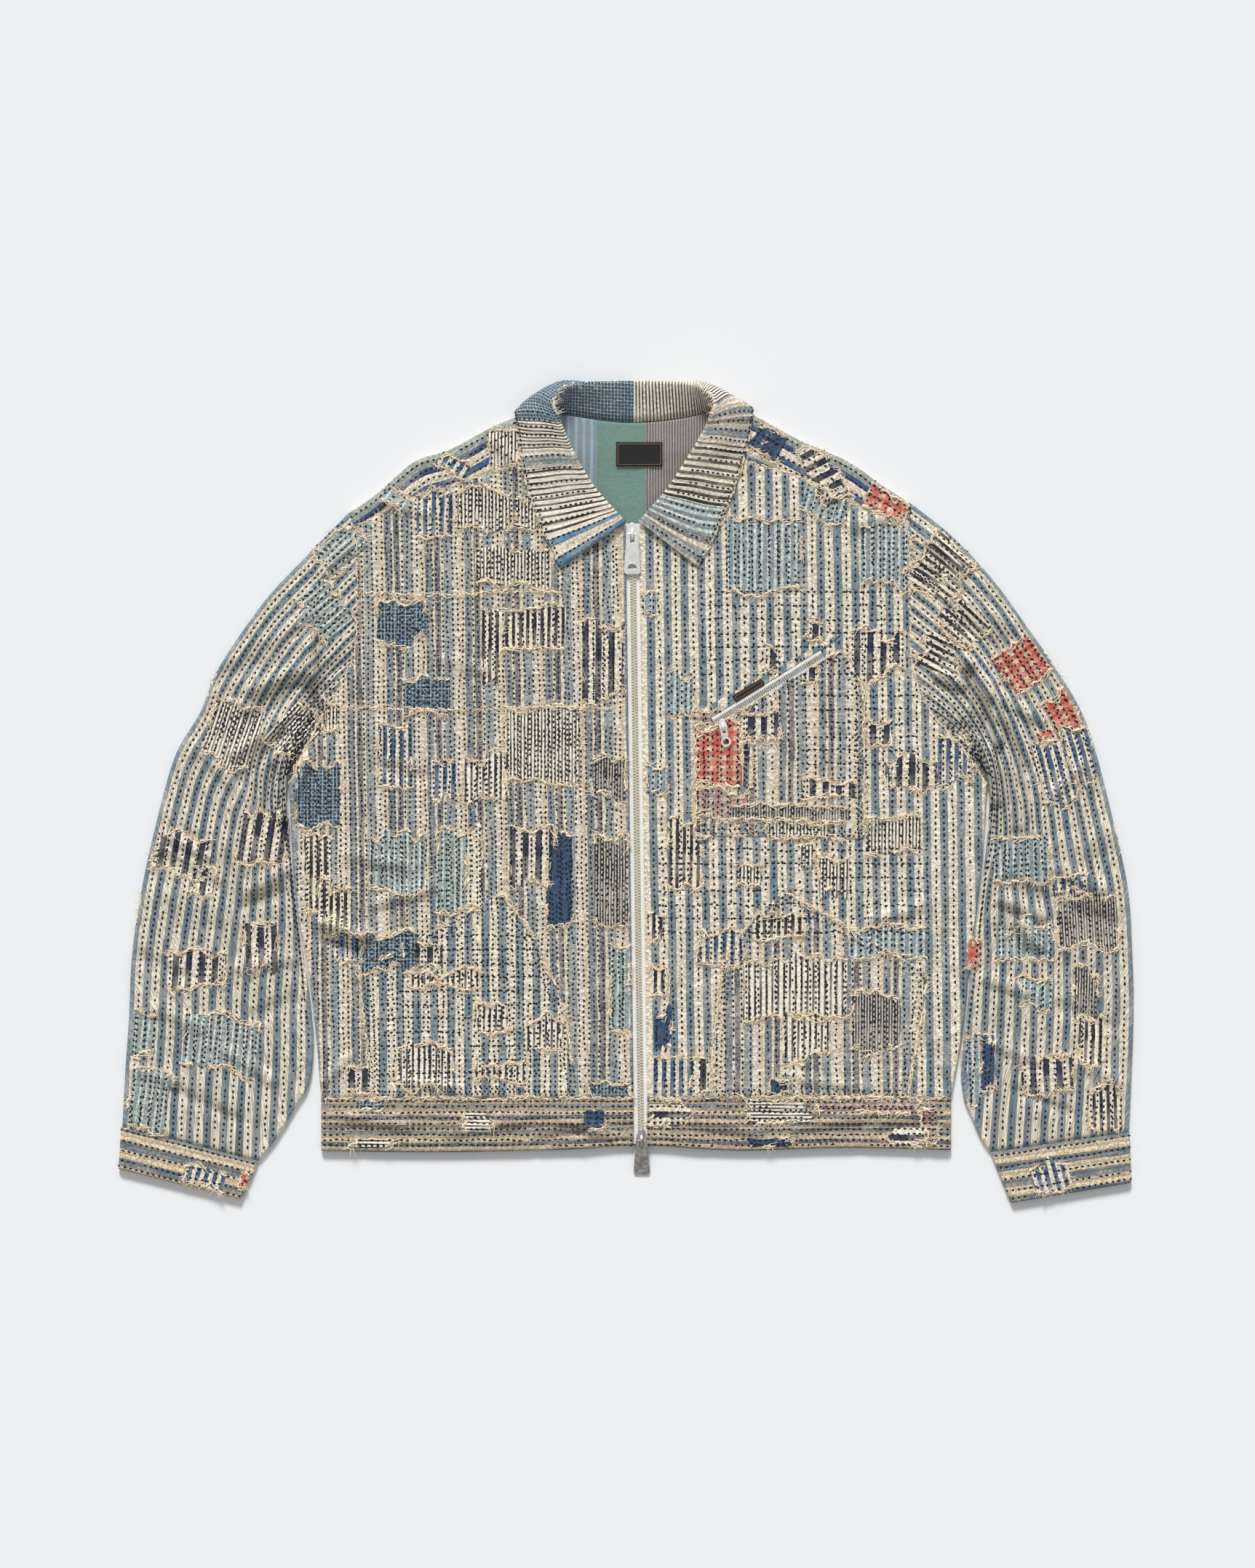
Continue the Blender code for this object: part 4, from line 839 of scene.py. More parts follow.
# %% Waistband
def waistband():
    hem_x, hem_y = smooth(HEM, 80).T
    right_x, left_x = SIDE[0][1], SIDE[0][2]
    opening = zip_x(HEM_SEAM_Y)
    rows, uvs = [], []
    for t in np.linspace(0, 1, 17):
        def place(x):
            return np.column_stack([x, HEM_SEAM_Y * (1 - t) + np.interp(x, hem_x, hem_y) * t])
        near_right = place(np.linspace(opening - ZIP_HALF_OPENING, right_x + ROLL, 95)[:-1])
        near_left = place(np.linspace(left_x - ROLL, opening + ZIP_HALF_OPENING, 95)[1:])
        under = place(np.linspace(right_x + ROLL, left_x - ROLL, 60)[1:-1])
        right_turn = half_turn(place([right_x]), np.array([[-1.0, 0]]), HALF_TURN[::-1])[0]
        left_turn = half_turn(place([left_x]), np.array([[1.0, 0]]), HALF_TURN)[0]
        row = np.vstack([raised(near_right, upper), right_turn, raised(under, lower), left_turn,
                         raised(near_left, upper)])
        way = lengths(row[:, :2])
        rows.append(row)
        uvs.append(np.column_stack([np.full(len(row), t * 47), way]))
    return sheet("cloth_waistband", np.array(rows), np.array(uvs), [COTTONS["hem"]], flip=False)


band = waistband()

# %% [markdown]
# ## Collar
# The collar stands up from the neck, folds over and lies on the fronts. At the back it is tucked
# under. Its sections are listed at numbers along the neck edge, and each section is a
# smooth profile. Along it the pieced cloths change, so each stretch has a finish of its own.

# %% Collar
COLLAR = [  # place along the neck, then x y z of the fold, two points down the fall, and its edge
    (0, (-11.5, 244.5, 9.5), (-31, 230, 10.6), (-51, 216, 9.6), (-70, 202, 8.3)),
    (1, (-24, 258, 11), (-46, 252, 12), (-67, 247, 10.2), (-88, 243, 8.3)),
    (2, (-41, 278, 13), (-62, 276, 14), (-82, 273, 11), (-99, 271, 8.4)),
    (3, (-57, 305, 19), (-75, 305, 19.5), (-92, 304, 14), (-106, 303, 9.0)),
    (4, (-67, 326, 26), (-84, 327, 24), (-99, 328, 17), (-108.5, 330, 9.6)),
    (4.5, (-72.5, 340, 29), (-89, 343, 25), (-103, 344, 17), (-111, 343.4, 9.0)),
    (4.75, (-75.5, 347, 30), (-90, 351, 23), (-103, 352, 12), (-108, 347, 3.0)),
    (5, (-77, 353, 29.5), (-90, 359, 20), (-98, 356, 8), (-98, 344, 1.0)),
    (5.5, (-70, 363, 26), (-79, 368, 14), (-81, 361, 2.6), (-83, 338, 1.0)),
    (6, (-60, 369, 20), (-64, 372, 10), (-63, 360, 1.6), (-66, 326, 1.0)),
    (8, (-4, 371.5, 10), (-4, 364, 3.6), (-4, 350, 1.1), (-4, 322, 1.0)),
    (10, (50, 369, 19), (54, 371, 10), (53, 360, 1.8), (56, 326, 1.0)),
    (10.5, (62, 363, 26), (70, 367, 14), (74, 361, 2.6), (75, 340, 1.0)),
    (11, (70, 351, 29.5), (82, 358, 20), (90, 356, 8), (90.5, 346.5, 1.0)),
    (11.25, (68, 345, 30), (83, 351, 23), (96, 353, 12), (101, 349.5, 3.0)),
    (11.5, (65.5, 339, 29), (81, 342, 25), (94, 344.5, 17), (104.5, 345.4, 9.0)),
    (12, (60, 326, 26), (76, 325, 24), (90, 323.5, 17), (101, 323, 9.6)),
    (13, (46, 303, 19), (63, 301, 19.5), (80, 299, 14), (94.5, 297, 9.0)),
    (14, (29, 277, 13), (50, 274, 14), (69, 270, 11), (85, 268, 8.4)),
    (15, (13.5, 258.5, 11), (34, 250, 12), (55, 243, 10.2), (74, 240, 8.3)),
    (16, (1.5, 245, 9.5), (19, 231, 10.6), (37, 217, 9.6), (55, 203.3, 8.3))]
COLLAR_CLOTHS = [  # up to this place, the finish
    (0.6, "tip"), (2.6, "pin"), (3.2, "worn"), (4.3, "black"), (5.5, "check"), (8, "check"),
    (11, "black"), (12.4, "worn"), (14.4, "bold"), (15.3, "sky"), (16.1, "worn")]
COLLAR_ROLL = 1.7
BACK_CORNERS = (5, 11)        # places where the collar turns down behind the shoulders


def neck_seam(place):
    """Where the stand is sewn on: just inside the neck edge."""
    k = min(int(place), len(NECK) - 2)
    here, there = np.array(NECK[k], float), np.array(NECK[k + 1], float)
    point = here + (there - here) * (place - k)
    along = unit(there - here)
    lying = BACK_CORNERS[0] < place < BACK_CORNERS[1]
    inside = np.array([along[1], -along[0]]) * (-1 if lying else 1)
    corner = min(abs(place - c) for c in BACK_CORNERS)
    if corner < 1e-6:
        inside = unit(np.array([1.0 if place == BACK_CORNERS[0] else -1.0, 1.2]))
    step_in = 0.7 if lying else 1.5
    point = point + inside * (step_in + (3.0 - step_in) * max(0, 1 - 2 * corner))
    z_high, z_low = upper(*point), lower(*point)
    share = np.clip(0.5 - 2 * corner if lying else 0.5 + 1.5 * corner, 0, 1)
    return np.array([*point, z_low + (z_high - z_low) * share])


def section_at(place):
    """The four guide points at any place, on a smooth curve through the table's rows."""
    places = [row[0] for row in COLLAR]
    k = int(np.clip(np.searchsorted(places, place, side="right") - 1, 0, len(places) - 2))
    rows = [np.array(row[1:], float) for row in COLLAR]
    before, after = max(k - 1, 0), min(k + 2, len(rows) - 1)
    span = places[k + 1] - places[k]
    t = (place - places[k]) / span
    lean_in = (rows[k + 1] - rows[before]) / (places[k + 1] - places[before]) * span
    lean_out = (rows[after] - rows[k]) / (places[after] - places[k]) * span
    return ((2 * t ** 3 - 3 * t ** 2 + 1) * rows[k] + (t ** 3 - 2 * t ** 2 + t) * lean_in
            + (3 * t ** 2 - 2 * t ** 3) * rows[k + 1] + (t ** 3 - t ** 2) * lean_out)


def collar():
    stops = np.concatenate([np.arange(0, 4, 0.1), np.arange(4, 6, 0.05), np.arange(6, 10, 0.1),
                            np.arange(10, 12, 0.05), np.arange(12, 16.01, 0.1)])
    sections = np.array([section_at(stop) for stop in stops])
    tangents = unit(np.gradient(sections[:, 0], axis=0))
    rows = []
    for stop, (fold, brow, heel, edge), tangent in zip(stops, sections, tangents):
        seam = neck_seam(round(float(stop), 3))
        stand = unit(fold - seam)
        over = unit(np.cross(stand, tangent))
        centre = fold - COLLAR_ROLL * stand
        bend = [centre + COLLAR_ROLL * (math.sin(a) * over + math.cos(a) * stand)
                for a in np.radians(np.linspace(-90, 90, 7))]
        fall = smooth([bend[-1], brow, heel, edge], 26)[1:]
        row = np.vstack([even([seam, bend[0]], 6)[:-1], bend, fall])
        row[:, 2] = np.maximum(row[:, 2], LOW)
        rows.append(row)
    points = np.array(rows)
    chance = np.random.default_rng(5)
    fall_share = np.clip((np.arange(points.shape[1]) - 13) / 12, 0, 1)
    for _ in range(60):          # small puckers along the leaves
        at, reach = chance.uniform(0, 16), chance.uniform(0.12, 0.4)
        bump_here = np.exp(-((stops - at) / reach) ** 2)
        down = np.exp(-((fall_share - chance.uniform(0.1, 0.9)) / 0.35) ** 2) * (fall_share > 0)
        points[..., 2] += chance.uniform(-0.5, 1.0) * bump_here[:, None] * down
    points[..., 2] = np.maximum(points[..., 2], LOW)
    run = lengths(points[:, 20])
    across = travelled(points)
    uv = np.stack([np.tile(run[:, None], (1, points.shape[1])), across], axis=2)
    limits = [row[0] for row in COLLAR_CLOTHS]
    slots = np.tile(np.searchsorted(limits, stops + 0.01)[:, None], (1, points.shape[1]))
    collar_stand = slots.copy()
    collar_stand[(stops < 5) | (stops > 11.3), :5] = len(limits)
    materials = [COTTONS[finish] for _, finish in COLLAR_CLOTHS] + [COTTONS["striped"]]
    return sheet("cloth_collar", points, uv, materials, slots=collar_stand), points


collar_panel, COLLAR_POINTS = collar()
print("collar cells:", len(collar_panel.data.polygons))

# %% [markdown]
# ## Pieces laid on the jacket
# Pockets and patches are sewn on flat. They could be cut out of the panels, but a sewn-on piece
# has its own thickness, edge and stripe direction. So each is a ring-shaped grid from its edge to
# its middle, laid down by casting rays on to what is below it, with a skirt that hides its edge.

# %% Laying cloth on cloth
RAY_START = 100.0         # well above the jacket
MESH_STEP = 3.0           # mesh size of a laid piece


def search_tree(things):
    """What a ray meets: the finished sheets, with their thickness."""
    graph = bpy.context.evaluated_depsgraph_get()
    corners, faces, start = [], [], 0
    for thing in things:
        mesh = thing.evaluated_get(graph).to_mesh()
        place = np.zeros(len(mesh.vertices) * 3)
        mesh.vertices.foreach_get("co", place)
        loops = np.zeros(len(mesh.loops), int)
        mesh.loops.foreach_get("vertex_index", loops)
        begin = np.zeros(len(mesh.polygons), int)
        mesh.polygons.foreach_get("loop_start", begin)
        corners.append(place.reshape(-1, 3))
        faces += [part.tolist() for part in np.split(loops + start, begin[1:])]
        start += len(mesh.vertices)
    return BVHTree.FromPolygons(np.vstack(corners).tolist(), faces)


def hit_below(tree, place):
    """Where a ray straight down meets the cloth, in metres, or None beside it."""
    return tree.ray_cast(Vector((*place * MM, RAY_START * MM)), Vector((0, 0, -1)))[0]


def height_at(tree, places):
    """Height of the surface below each place, in millimetres."""
    heights = []
    for place in np.array(places, float)[:, :2]:
        hit = hit_below(tree, place)
        if hit is None:
            hit = tree.find_nearest(Vector((*place * MM, TOP * MM)))[0]
        heights.append(hit.z / MM)
    return np.array(heights)


def on_cloth(line, rise, tree):
    """A line laid on the cloth, a little above it."""
    return np.column_stack([line, height_at(tree, line) + rise])


def wavy_edge(outline, spacing, wobble, chance):
    """An outline as even places, a little uneven, running anticlockwise."""
    closed = np.vstack([outline, outline[:1]]).astype(float)
    across = closed[:-1, 0] * closed[1:, 1] - closed[1:, 0] * closed[:-1, 1]
    if across.sum() < 0:
        closed = closed[::-1]
    count = max(12, round(np.linalg.norm(np.diff(closed, axis=0), axis=1).sum() / spacing))
    edge = even(closed, count + 1)[:-1]
    way = np.linspace(0, math.tau, count, endpoint=False)
    waves = sum(chance.normal(0, wobble) / k ** 0.5 * np.sin(k * way + chance.uniform(0, math.tau))
                for k in (2, 3, 5, 8, 13, 21))
    return edge + unit(edge - edge.mean(axis=0)) * waves[:, None]


def ragged_ends(edge, turn, ends=0.95, sides=0.3):
    """The stretches of an edge that have frayed: mostly the ends, across the stripes."""
    along = unit(np.roll(edge, -1, axis=0) - np.roll(edge, 1, axis=0))
    across = np.abs(along @ [math.cos(turn), math.sin(turn)]) > 0.6
    cell = np.arange(len(edge)) // 5
    frayed = np.where(across, chance.random(len(edge))[cell] < ends,
                      chance.random(len(edge))[cell] < sides)
    parts = np.split(np.arange(len(edge)), np.flatnonzero(np.diff(frayed)) + 1)
    return [edge[part] for part in parts if frayed[part[0]] and len(part) > 2]


def laid(edge, tree, rise, turn=0.0, shift=0.0):
    """Vertices, faces and UVs of a piece whose middle sees the whole of its edge."""
    count, middle = len(edge), edge.mean(axis=0)
    rings = max(3, round(float(np.median(np.linalg.norm(edge - middle, axis=1))) / MESH_STEP))
    shares = np.concatenate([[1.006], np.linspace(1, 0, rings + 1)[:-1]])
    places = np.vstack([middle + (edge - middle) * share for share in shares] + [middle[None]])
    z = height_at(tree, places) + rise
    z[:count] -= rise + 0.5
    rounds = len(shares)
    i, r = np.meshgrid(np.arange(count), np.arange(rounds - 1))
    j = (i + 1) % count
    quads = np.stack([r * count + i, r * count + j, (r + 1) * count + j, (r + 1) * count + i], -1)
    last = (rounds - 1) * count
    faces = quads.reshape(-1, 4).tolist()
    faces += [(last + k, last + (k + 1) % count, rounds * count) for k in range(count)]
    c, s = math.cos(turn), math.sin(turn)
    uv = (places - middle) @ np.array([[c, -s], [s, c]]) + [shift, 0]
    return np.column_stack([places, z]), faces, uv


def one_mesh(name, parts, material):
    """Several laid pieces as one mesh."""
    verts, faces, uvs, start = [], [], [], 0
    for part_verts, part_faces, part_uvs in parts:
        verts.append(part_verts)
        faces += [[k + start for k in face] for face in part_faces]
        uvs.append(part_uvs)
        start += len(part_verts)
    return show(name, mesh_from(name, np.vstack(verts), faces, np.vstack(uvs)), [material])


def area_of(edge):
    nxt = np.roll(edge, -1, axis=0)
    return abs(float((edge[:, 0] * nxt[:, 1] - nxt[:, 0] * edge[:, 1]).sum())) / 2


# %% Pockets
chance = np.random.default_rng(21)
panels = [front_right, front_left, yoke_panel, band, *sleeves, *cuffs]
bare_tree = search_tree(panels)
POCKETS = [  # name, outline, finish, CAD node, size of the cut
    ("cloth_pocket_right", POCKET_RIGHT, "striped", "pocket_right", (197, 186)),
    ("cloth_pocket_left", POCKET_LEFT, "worn", "pocket_left", (196, 188)),
    ("cloth_chest_pocket", CHEST_POCKET, "worn", "chest_pocket", (154, 172)),
    ("cloth_chest_welt", CHEST_WELT, "striped", "chest_welt", (156, 11))]
LAID, EDGES, POCKET_EDGES = [], [], []
for name, outline, finish, node, size in POCKETS:
    edge = wavy_edge(outline, MESH_STEP, 0.25, chance)
    pocket = one_mesh(name, [laid(edge, bare_tree, 1.1)], COTTONS[finish])
    LAID.append((pocket, [node], (*size, area_of(edge))))
    if node != "chest_welt":
        EDGES += ragged_ends(edge, 0.0, 0.5, 0.9)
        POCKET_EDGES.append(edge)
body_tree = search_tree(panels + [piece for piece, _, _ in LAID])
print("pockets:", len(LAID))

# %% [markdown]
# ## Patches
# Over a hundred patches are darned on, of fourteen cloths. Each row gives the cloth, the middle,
# the width and height, and an extra turn. On a sleeve a patch follows the sleeve, so `grain` finds
# how far the sleeve leans there.

# %% Patch table
PATCHES = [  # cloth, x, y, width, height, extra turn in degrees
    # left front, above the chest pocket and beside it
    ("sky", 114, 215, 67, 63, 0), ("sky", 171, 261, 44, 26, -18), ("sky", 225, 213, 45, 55, 0),
    ("sky", 10, 170, 15, 20, 0), ("sky", 39, 88, 22, 38, 0), ("sky", 17, 11, 20, 26, 0),
    ("navy", 161, 145, 13, 16, 0), ("navy", 218, 126, 51, 36, 0), ("navy", 121, 120, 13, 18, 0),
    ("navy", 219, 53, 21, 22, 0), ("navy", 249, 15, 48, 23, 0), ("blue", 288, 26, 32, 40, 0),
    # chest pocket
    ("red", 73, 34, 42, 56, 0), ("pink", 76, -12, 48, 26, 0), ("pink", 62, 66, 24, 14, 0),
    ("black", 145, -35, 56, 14, 0), ("navy", 111, 59, 34, 25, 0), ("navy", 99, 25, 9, 42, 0),
    ("navy", 173, 2, 50, 16, 0), ("navy", 156, 106, 16, 14, 0), ("dark", 138, -20, 108, 12, 0),
    # left front, below the chest pocket, and the left lower pocket
    ("bold", 43, -56, 30, 61, 0), ("bold", 15, -124, 15, 23, 0), ("bold", 20, -172, 15, 24, 0),
    ("indigo", 23, -216, 16, 33, 0), ("blue", 28, -260, 30, 36, 0), ("navy", 58, -260, 20, 36, 0),
    ("blue", 75, -142, 40, 30, 0), ("black", 233, -40, 50, 33, 0), ("black", 178, -79, 26, 39, 0),
    ("black", 101, -76, 24, 19, 0), ("black", 154, -60, 12, 19, 0), ("bold", 130, -123, 45, 21, 0),
    ("pin", 143, -180, 94, 54, 0), ("pin", 153, -221, 43, 36, 0), ("dark", 216, -209, 44, 48, 0),
    ("sky", 227, -137, 71, 26, 0), ("black", 127, -290, 22, 54, 90), ("navy", 246, -314, 17, 32, 90),
    ("navy", 26, -293, 20, 34, 90), ("indigo", 120, -319, 8, 36, 90), ("pink", 206, -284, 14, 96, 90),
    ("pink", 264, -303, 16, 30, 0), ("indigo", 128, -268, 18, 12, 0), ("cream", 141, -254, 22, 10, 0),
    # shoulders
    ("black", -122, 312, 26, 32, 0), ("indigo", 118, 316, 28, 26, -25), ("navy", 168, 288, 58, 24, -62),
    ("green", -222, 268, 40, 14, -36), ("blue", -168, 296, 30, 14, -28),
    # right front, upper part
    ("blue", -184, 251, 32, 40, 0), ("black", -140, 254, 48, 33, 0), ("black", -100, 253, 21, 28, 0),
    ("black", -112, 203, 69, 33, 0), ("check", -214, 156, 45, 33, 0), ("check", -191, 85, 41, 31, 0),
    ("bold", -132, 131, 18, 67, 0), ("bold", -95, 148, 59, 37, 0), ("navy", -29, 119, 45, 68, 0),
    ("blue", -220, 33, 31, 57, 0), ("blue", -175, 10, 25, 35, 0), ("black", -86, 42, 68, 67, 0),
    ("pin", -138, 11, 39, 41, 0), ("dark", -24, 11, 35, 37, 0),
    # right front, lower part, and the right lower pocket
    ("green", -217, -65, 52, 48, 0), ("green", -169, -74, 28, 71, 0), ("green", -15, -178, 21, 78, 0),
    ("cream", -148, -70, 13, 71, 0), ("navy", -97, -58, 40, 52, 0), ("indigo", -71, -80, 22, 82, 0),
    ("bold", -290, -77, 24, 73, 0), ("bold", -274, -107, 29, 46, 0), ("dark", -23, -81, 32, 84, 0),
    ("check", -290, -2, 40, 57, 0), ("check", -229, -145, 57, 30, 0), ("check", -23, -271, 41, 14, 0),
    ("navy", -195, -150, 36, 23, 0), ("pin", -175, -171, 64, 14, 0), ("pin", -132, -206, 27, 25, 0),
    ("pin", -85, -222, 34, 26, 0), ("pin", -193, -251, 51, 34, 0), ("pin", -124, -254, 48, 16, 0),
    ("indigo", -39, -298, 18, 16, 0), ("black", -146, -300, 18, 23, 90), ("black", -241, -320, 9, 34, 90),
    ("check", -242, -284, 24, 10, 0), ("tip", -262, -140, 26, 26, 0), ("navy", -252, -262, 26, 22, 0),
    # right sleeve
    ("green", -272, 221, 34, 39, 0), ("green", -284, 164, 48, 34, 0), ("green", -448, -219, 22, 38, 0),
    ("green", -378, -229, 68, 48, 0), ("green", -443, -281, 36, 55, 0), ("black", -367, 53, 46, 52, 0),
    ("black", -311, 53, 36, 44, 0), ("black", -279, 69, 16, 26, 0), ("navy", -413, -58, 52, 33, 0),
    ("navy", -394, -82, 20, 24, 0), ("navy", -340, -43, 43, 43, 0), ("navy", -400, -161, 53, 32, 0),
    ("navy", -341, -140, 30, 41, 0), ("blue", -393, -351, 38, 16, -14), ("red", -354, -355, 14, 16, -14),
    # left sleeve
    ("bold", 281, 210, 60, 44, 0), ("bold", 261, 193, 24, 32, 0), ("bold", 297, 150, 32, 37, 0),
    ("bold", 276, 123, 34, 34, 0), ("red", 353, 117, 50, 40, 0), ("red", 388, 71, 32, 34, 0),
    ("red", 370, 49, 14, 11, 0), ("blue", 403, 35, 28, 50, 0), ("blue", 378, 18, 30, 55, 0),
    ("red", 227, 264, 40, 26, -22), ("sky", 348, -62, 51, 40, 0), ("sky", 351, -136, 51, 33, 0),
    ("sky", 361, -182, 30, 28, 0), ("dark", 408, -118, 54, 48, 0), ("blue", 393, -87, 36, 20, 0),
    ("dark", 406, -184, 22, 44, 0), ("bold", 412, -225, 24, 43, 0), ("navy", 372, -257, 46, 33, 0),
    ("bold", 424, -290, 30, 34, 0), ("sky", 305, -252, 12, 60, 0), ("indigo", 318, -246, 11, 50, 0),
    ("red", 305, -148, 12, 26, 0), ("blue", 375, -351, 33, 24, 16)]
print("patches:", len(PATCHES))

# %% Patches
MARGIN = 3.5              # a patch stays this far inside the jacket's edge
STRIP = 60                # width of the strip given as the cut of each cloth's patches
CUTTING_LOSS = 1.02


def grain(x, y):
    """How far the stripes lean at a place: 0 on the body."""
    side = "right" if x < 0 else "left"
    line = SLEEVE_LINES[side]
    away = np.hypot(line[..., 0] - x, line[..., 1] - y)
    ring, column = np.unravel_index(away.argmin(), away.shape)
    if away.min() > 4 or abs(x) < 250:
        return 0.0
    ring = int(np.clip(ring, 4, len(line) - 5))
    lean = line[ring + 4, column] - line[ring - 4, column]
    return math.atan2(lean[0], -lean[1])


def patch_edge(x, y, width, height, turn):
    """A worn patch: straight sides along the stripes, ragged ends. It stays on the jacket."""
    reach = min(3.4, 0.11 * height)
    sides = []
    for size, other, rough in ((width, height, reach), (height, width, 0.5)) * 2:
        way = np.linspace(-0.5, 0.5, max(7, round(size / 2.5)))[:-1]
        waves = sum(chance.normal(0, rough) / k ** 0.6
                    * np.sin(math.tau * k * way + chance.uniform(0, math.tau)) for k in (0.7, 1.6, 3, 5))
        ragged = waves * np.clip(4 * (0.5 - np.abs(way)) + 0.3, 0, 1)
        sides.append((way * size, -other / 2 - ragged))
    (ax, ay), (bx, by), (cx, cy), (dx, dy) = sides
    ring = np.vstack([np.column_stack([ax, ay]), np.column_stack([-by, bx]),
                      np.column_stack([-cx, -cy]), np.column_stack([dy, -dx])])
    c, s = math.cos(turn), math.sin(turn)
    places = ring @ np.array([[c, s], [-s, c]]) + [x, y]
    for k, place in enumerate(places):
        for _ in range(12):
            if hit_below(body_tree, place + unit(place - [x, y]) * MARGIN) is not None:
                break
            place = place + (np.array([x, y]) - place) * 0.12
        places[k] = place
    return places


by_cloth = {}
for number, (cloth, x, y, width, height, extra) in enumerate(PATCHES):
    turn = grain(x, y) + math.radians(extra)
    edge = wavy_edge(patch_edge(x, y, width, height, turn), 2.6, 0.3, chance)
    shift = chance.uniform(0, 12)
    rise = 0.3 + 0.08 * (number % 3)
    by_cloth.setdefault(cloth, []).append((laid(edge, body_tree, rise, turn, shift), area_of(edge)))
    EDGES += ragged_ends(edge, turn)
for cloth, parts in by_cloth.items():
    total = sum(area for _, area in parts)
    piece = one_mesh(f"patches_{cloth}", [part for part, _ in parts], COTTONS[cloth])
    LAID.append((piece, [], (STRIP, total / STRIP * CUTTING_LOSS, total)))
patched_tree = search_tree(panels + [piece for piece, _, _ in LAID])
print("patch cloths:", len(by_cloth), "faces:", sum(len(p.data.polygons) for p, _, _ in LAID))

# %% [markdown]
# ## Node trees for what repeats
# Stitches, loose yarn and zip teeth number tens of thousands. They could be modelled one by one in
# loops, but a Geometry Nodes tree spaces small shapes along guide lines, and can be tuned by its
# named inputs. Each tree ends in real mesh, which then replaces the tree.

# %% Growing along guide lines
def new_tree(name, inputs):
    """An empty tree with named inputs. Returns it, its inputs and its output node."""
    tree = bpy.data.node_groups.new(name, "GeometryNodeTree")
    tree.interface.new_socket("Lines", in_out="INPUT", socket_type="NodeSocketGeometry")
    for label, kind, value in inputs:
        socket = tree.interface.new_socket(label, in_out="INPUT", socket_type=f"NodeSocket{kind}")
        socket.default_value = value
    tree.interface.new_socket("Mesh", in_out="OUTPUT", socket_type="NodeSocketGeometry")
    given = tree.nodes.new("NodeGroupInput")
    return tree, {s.name: Wire(tree, s) for s in given.outputs if s.name}, tree.nodes.new("NodeGroupOutput")


def random_between(wire, low, high, seed):
    """A random number, or a random vector where low is a triple, at each point."""
    vector = isinstance(low, tuple)
    kind, first, out = ("FLOAT_VECTOR", 0, 0) if vector else ("FLOAT", 2, 1)
    limits = {first: low, first + 1: high, "Seed": seed}
    return wire.add("FunctionNodeRandomValue", {"data_type": kind}, limits, out)


def random_lean(wire, lowest, highest, seed, size):
    """A random vector at each point, whose upward part lies between two values."""
    lean = random_between(wire, (-1.0, -1.0, lowest), (1.0, 1.0, highest), seed)
    return wire.add("ShaderNodeVectorMath", {"operation": "SCALE"}, {0: lean, "Scale": size})


def stepped(wire, lines, step):
    """The guide lines as curves, with a point at each step."""
    line = wire.add("GeometryNodeMeshToCurve", {}, {0: lines})
    return wire.add("GeometryNodeResampleCurve", {"mode": "LENGTH"}, {0: line, "Length": step})


def finish_tree(tree, grown, out, material):
    wire = Wire(tree)
    real = wire.add("GeometryNodeRealizeInstances", {}, {0: grown})
    coloured = wire.add("GeometryNodeSetMaterial", {}, {0: real, "Material": material})
    tree.links.new(coloured.socket, out.inputs[0])
    return tree


def vectors(wire, operation, a, b):
    return wire.add("ShaderNodeVectorMath", {"operation": operation}, {0: a, 1: b})


def stitch_tree():
    """Running stitches: small flat spindles, each a little askew, with one missing here and there."""
    tree, given, out = new_tree("running_stitches", [
        ("Pitch", "Float", 0.006), ("Length", "Float", 0.0026), ("Width", "Float", 0.0023),
        ("Askew", "Float", 0.16), ("Kept", "Float", 0.93), ("Seed", "Int", 1)])
    wire = Wire(tree)
    line = stepped(wire, given["Lines"], given["Pitch"])
    lean = random_lean(wire, -0.3, 0.3, given["Seed"], given["Askew"])
    aim = vectors(wire, "ADD", wire.add("GeometryNodeInputTangent", {}, {}), lean)
    turn = wire.add("FunctionNodeAlignRotationToVector", {"axis": "Z"}, {"Vector": aim})
    turn = wire.add("FunctionNodeAlignRotationToVector", {"axis": "Y", "pivot_axis": "Z"},
                    {"Rotation": turn, "Vector": (0.0, 0.0, 1.0)})
    half = given["Length"] * random_between(wire, 0.36, 0.62, given["Seed"] + 1)
    wide = given["Width"] * 0.5
    size = wire.add("ShaderNodeCombineXYZ", {}, {0: wide, 1: wide * 0.45, 2: half})
    spindle = wire.add("GeometryNodeMeshUVSphere", {}, {"Segments": 4, "Rings": 2, "Radius": 1.0})
    kept = wire.add("FunctionNodeRandomValue", {"data_type": "BOOLEAN"},
                    {"Probability": given["Kept"], "Seed": given["Seed"] + 2}, 3)
    grown = wire.add("GeometryNodeInstanceOnPoints", {}, {
        "Points": line, "Selection": kept, "Instance": spindle, "Rotation": turn, "Scale": size})
    return finish_tree(tree, grown, out, STITCH)


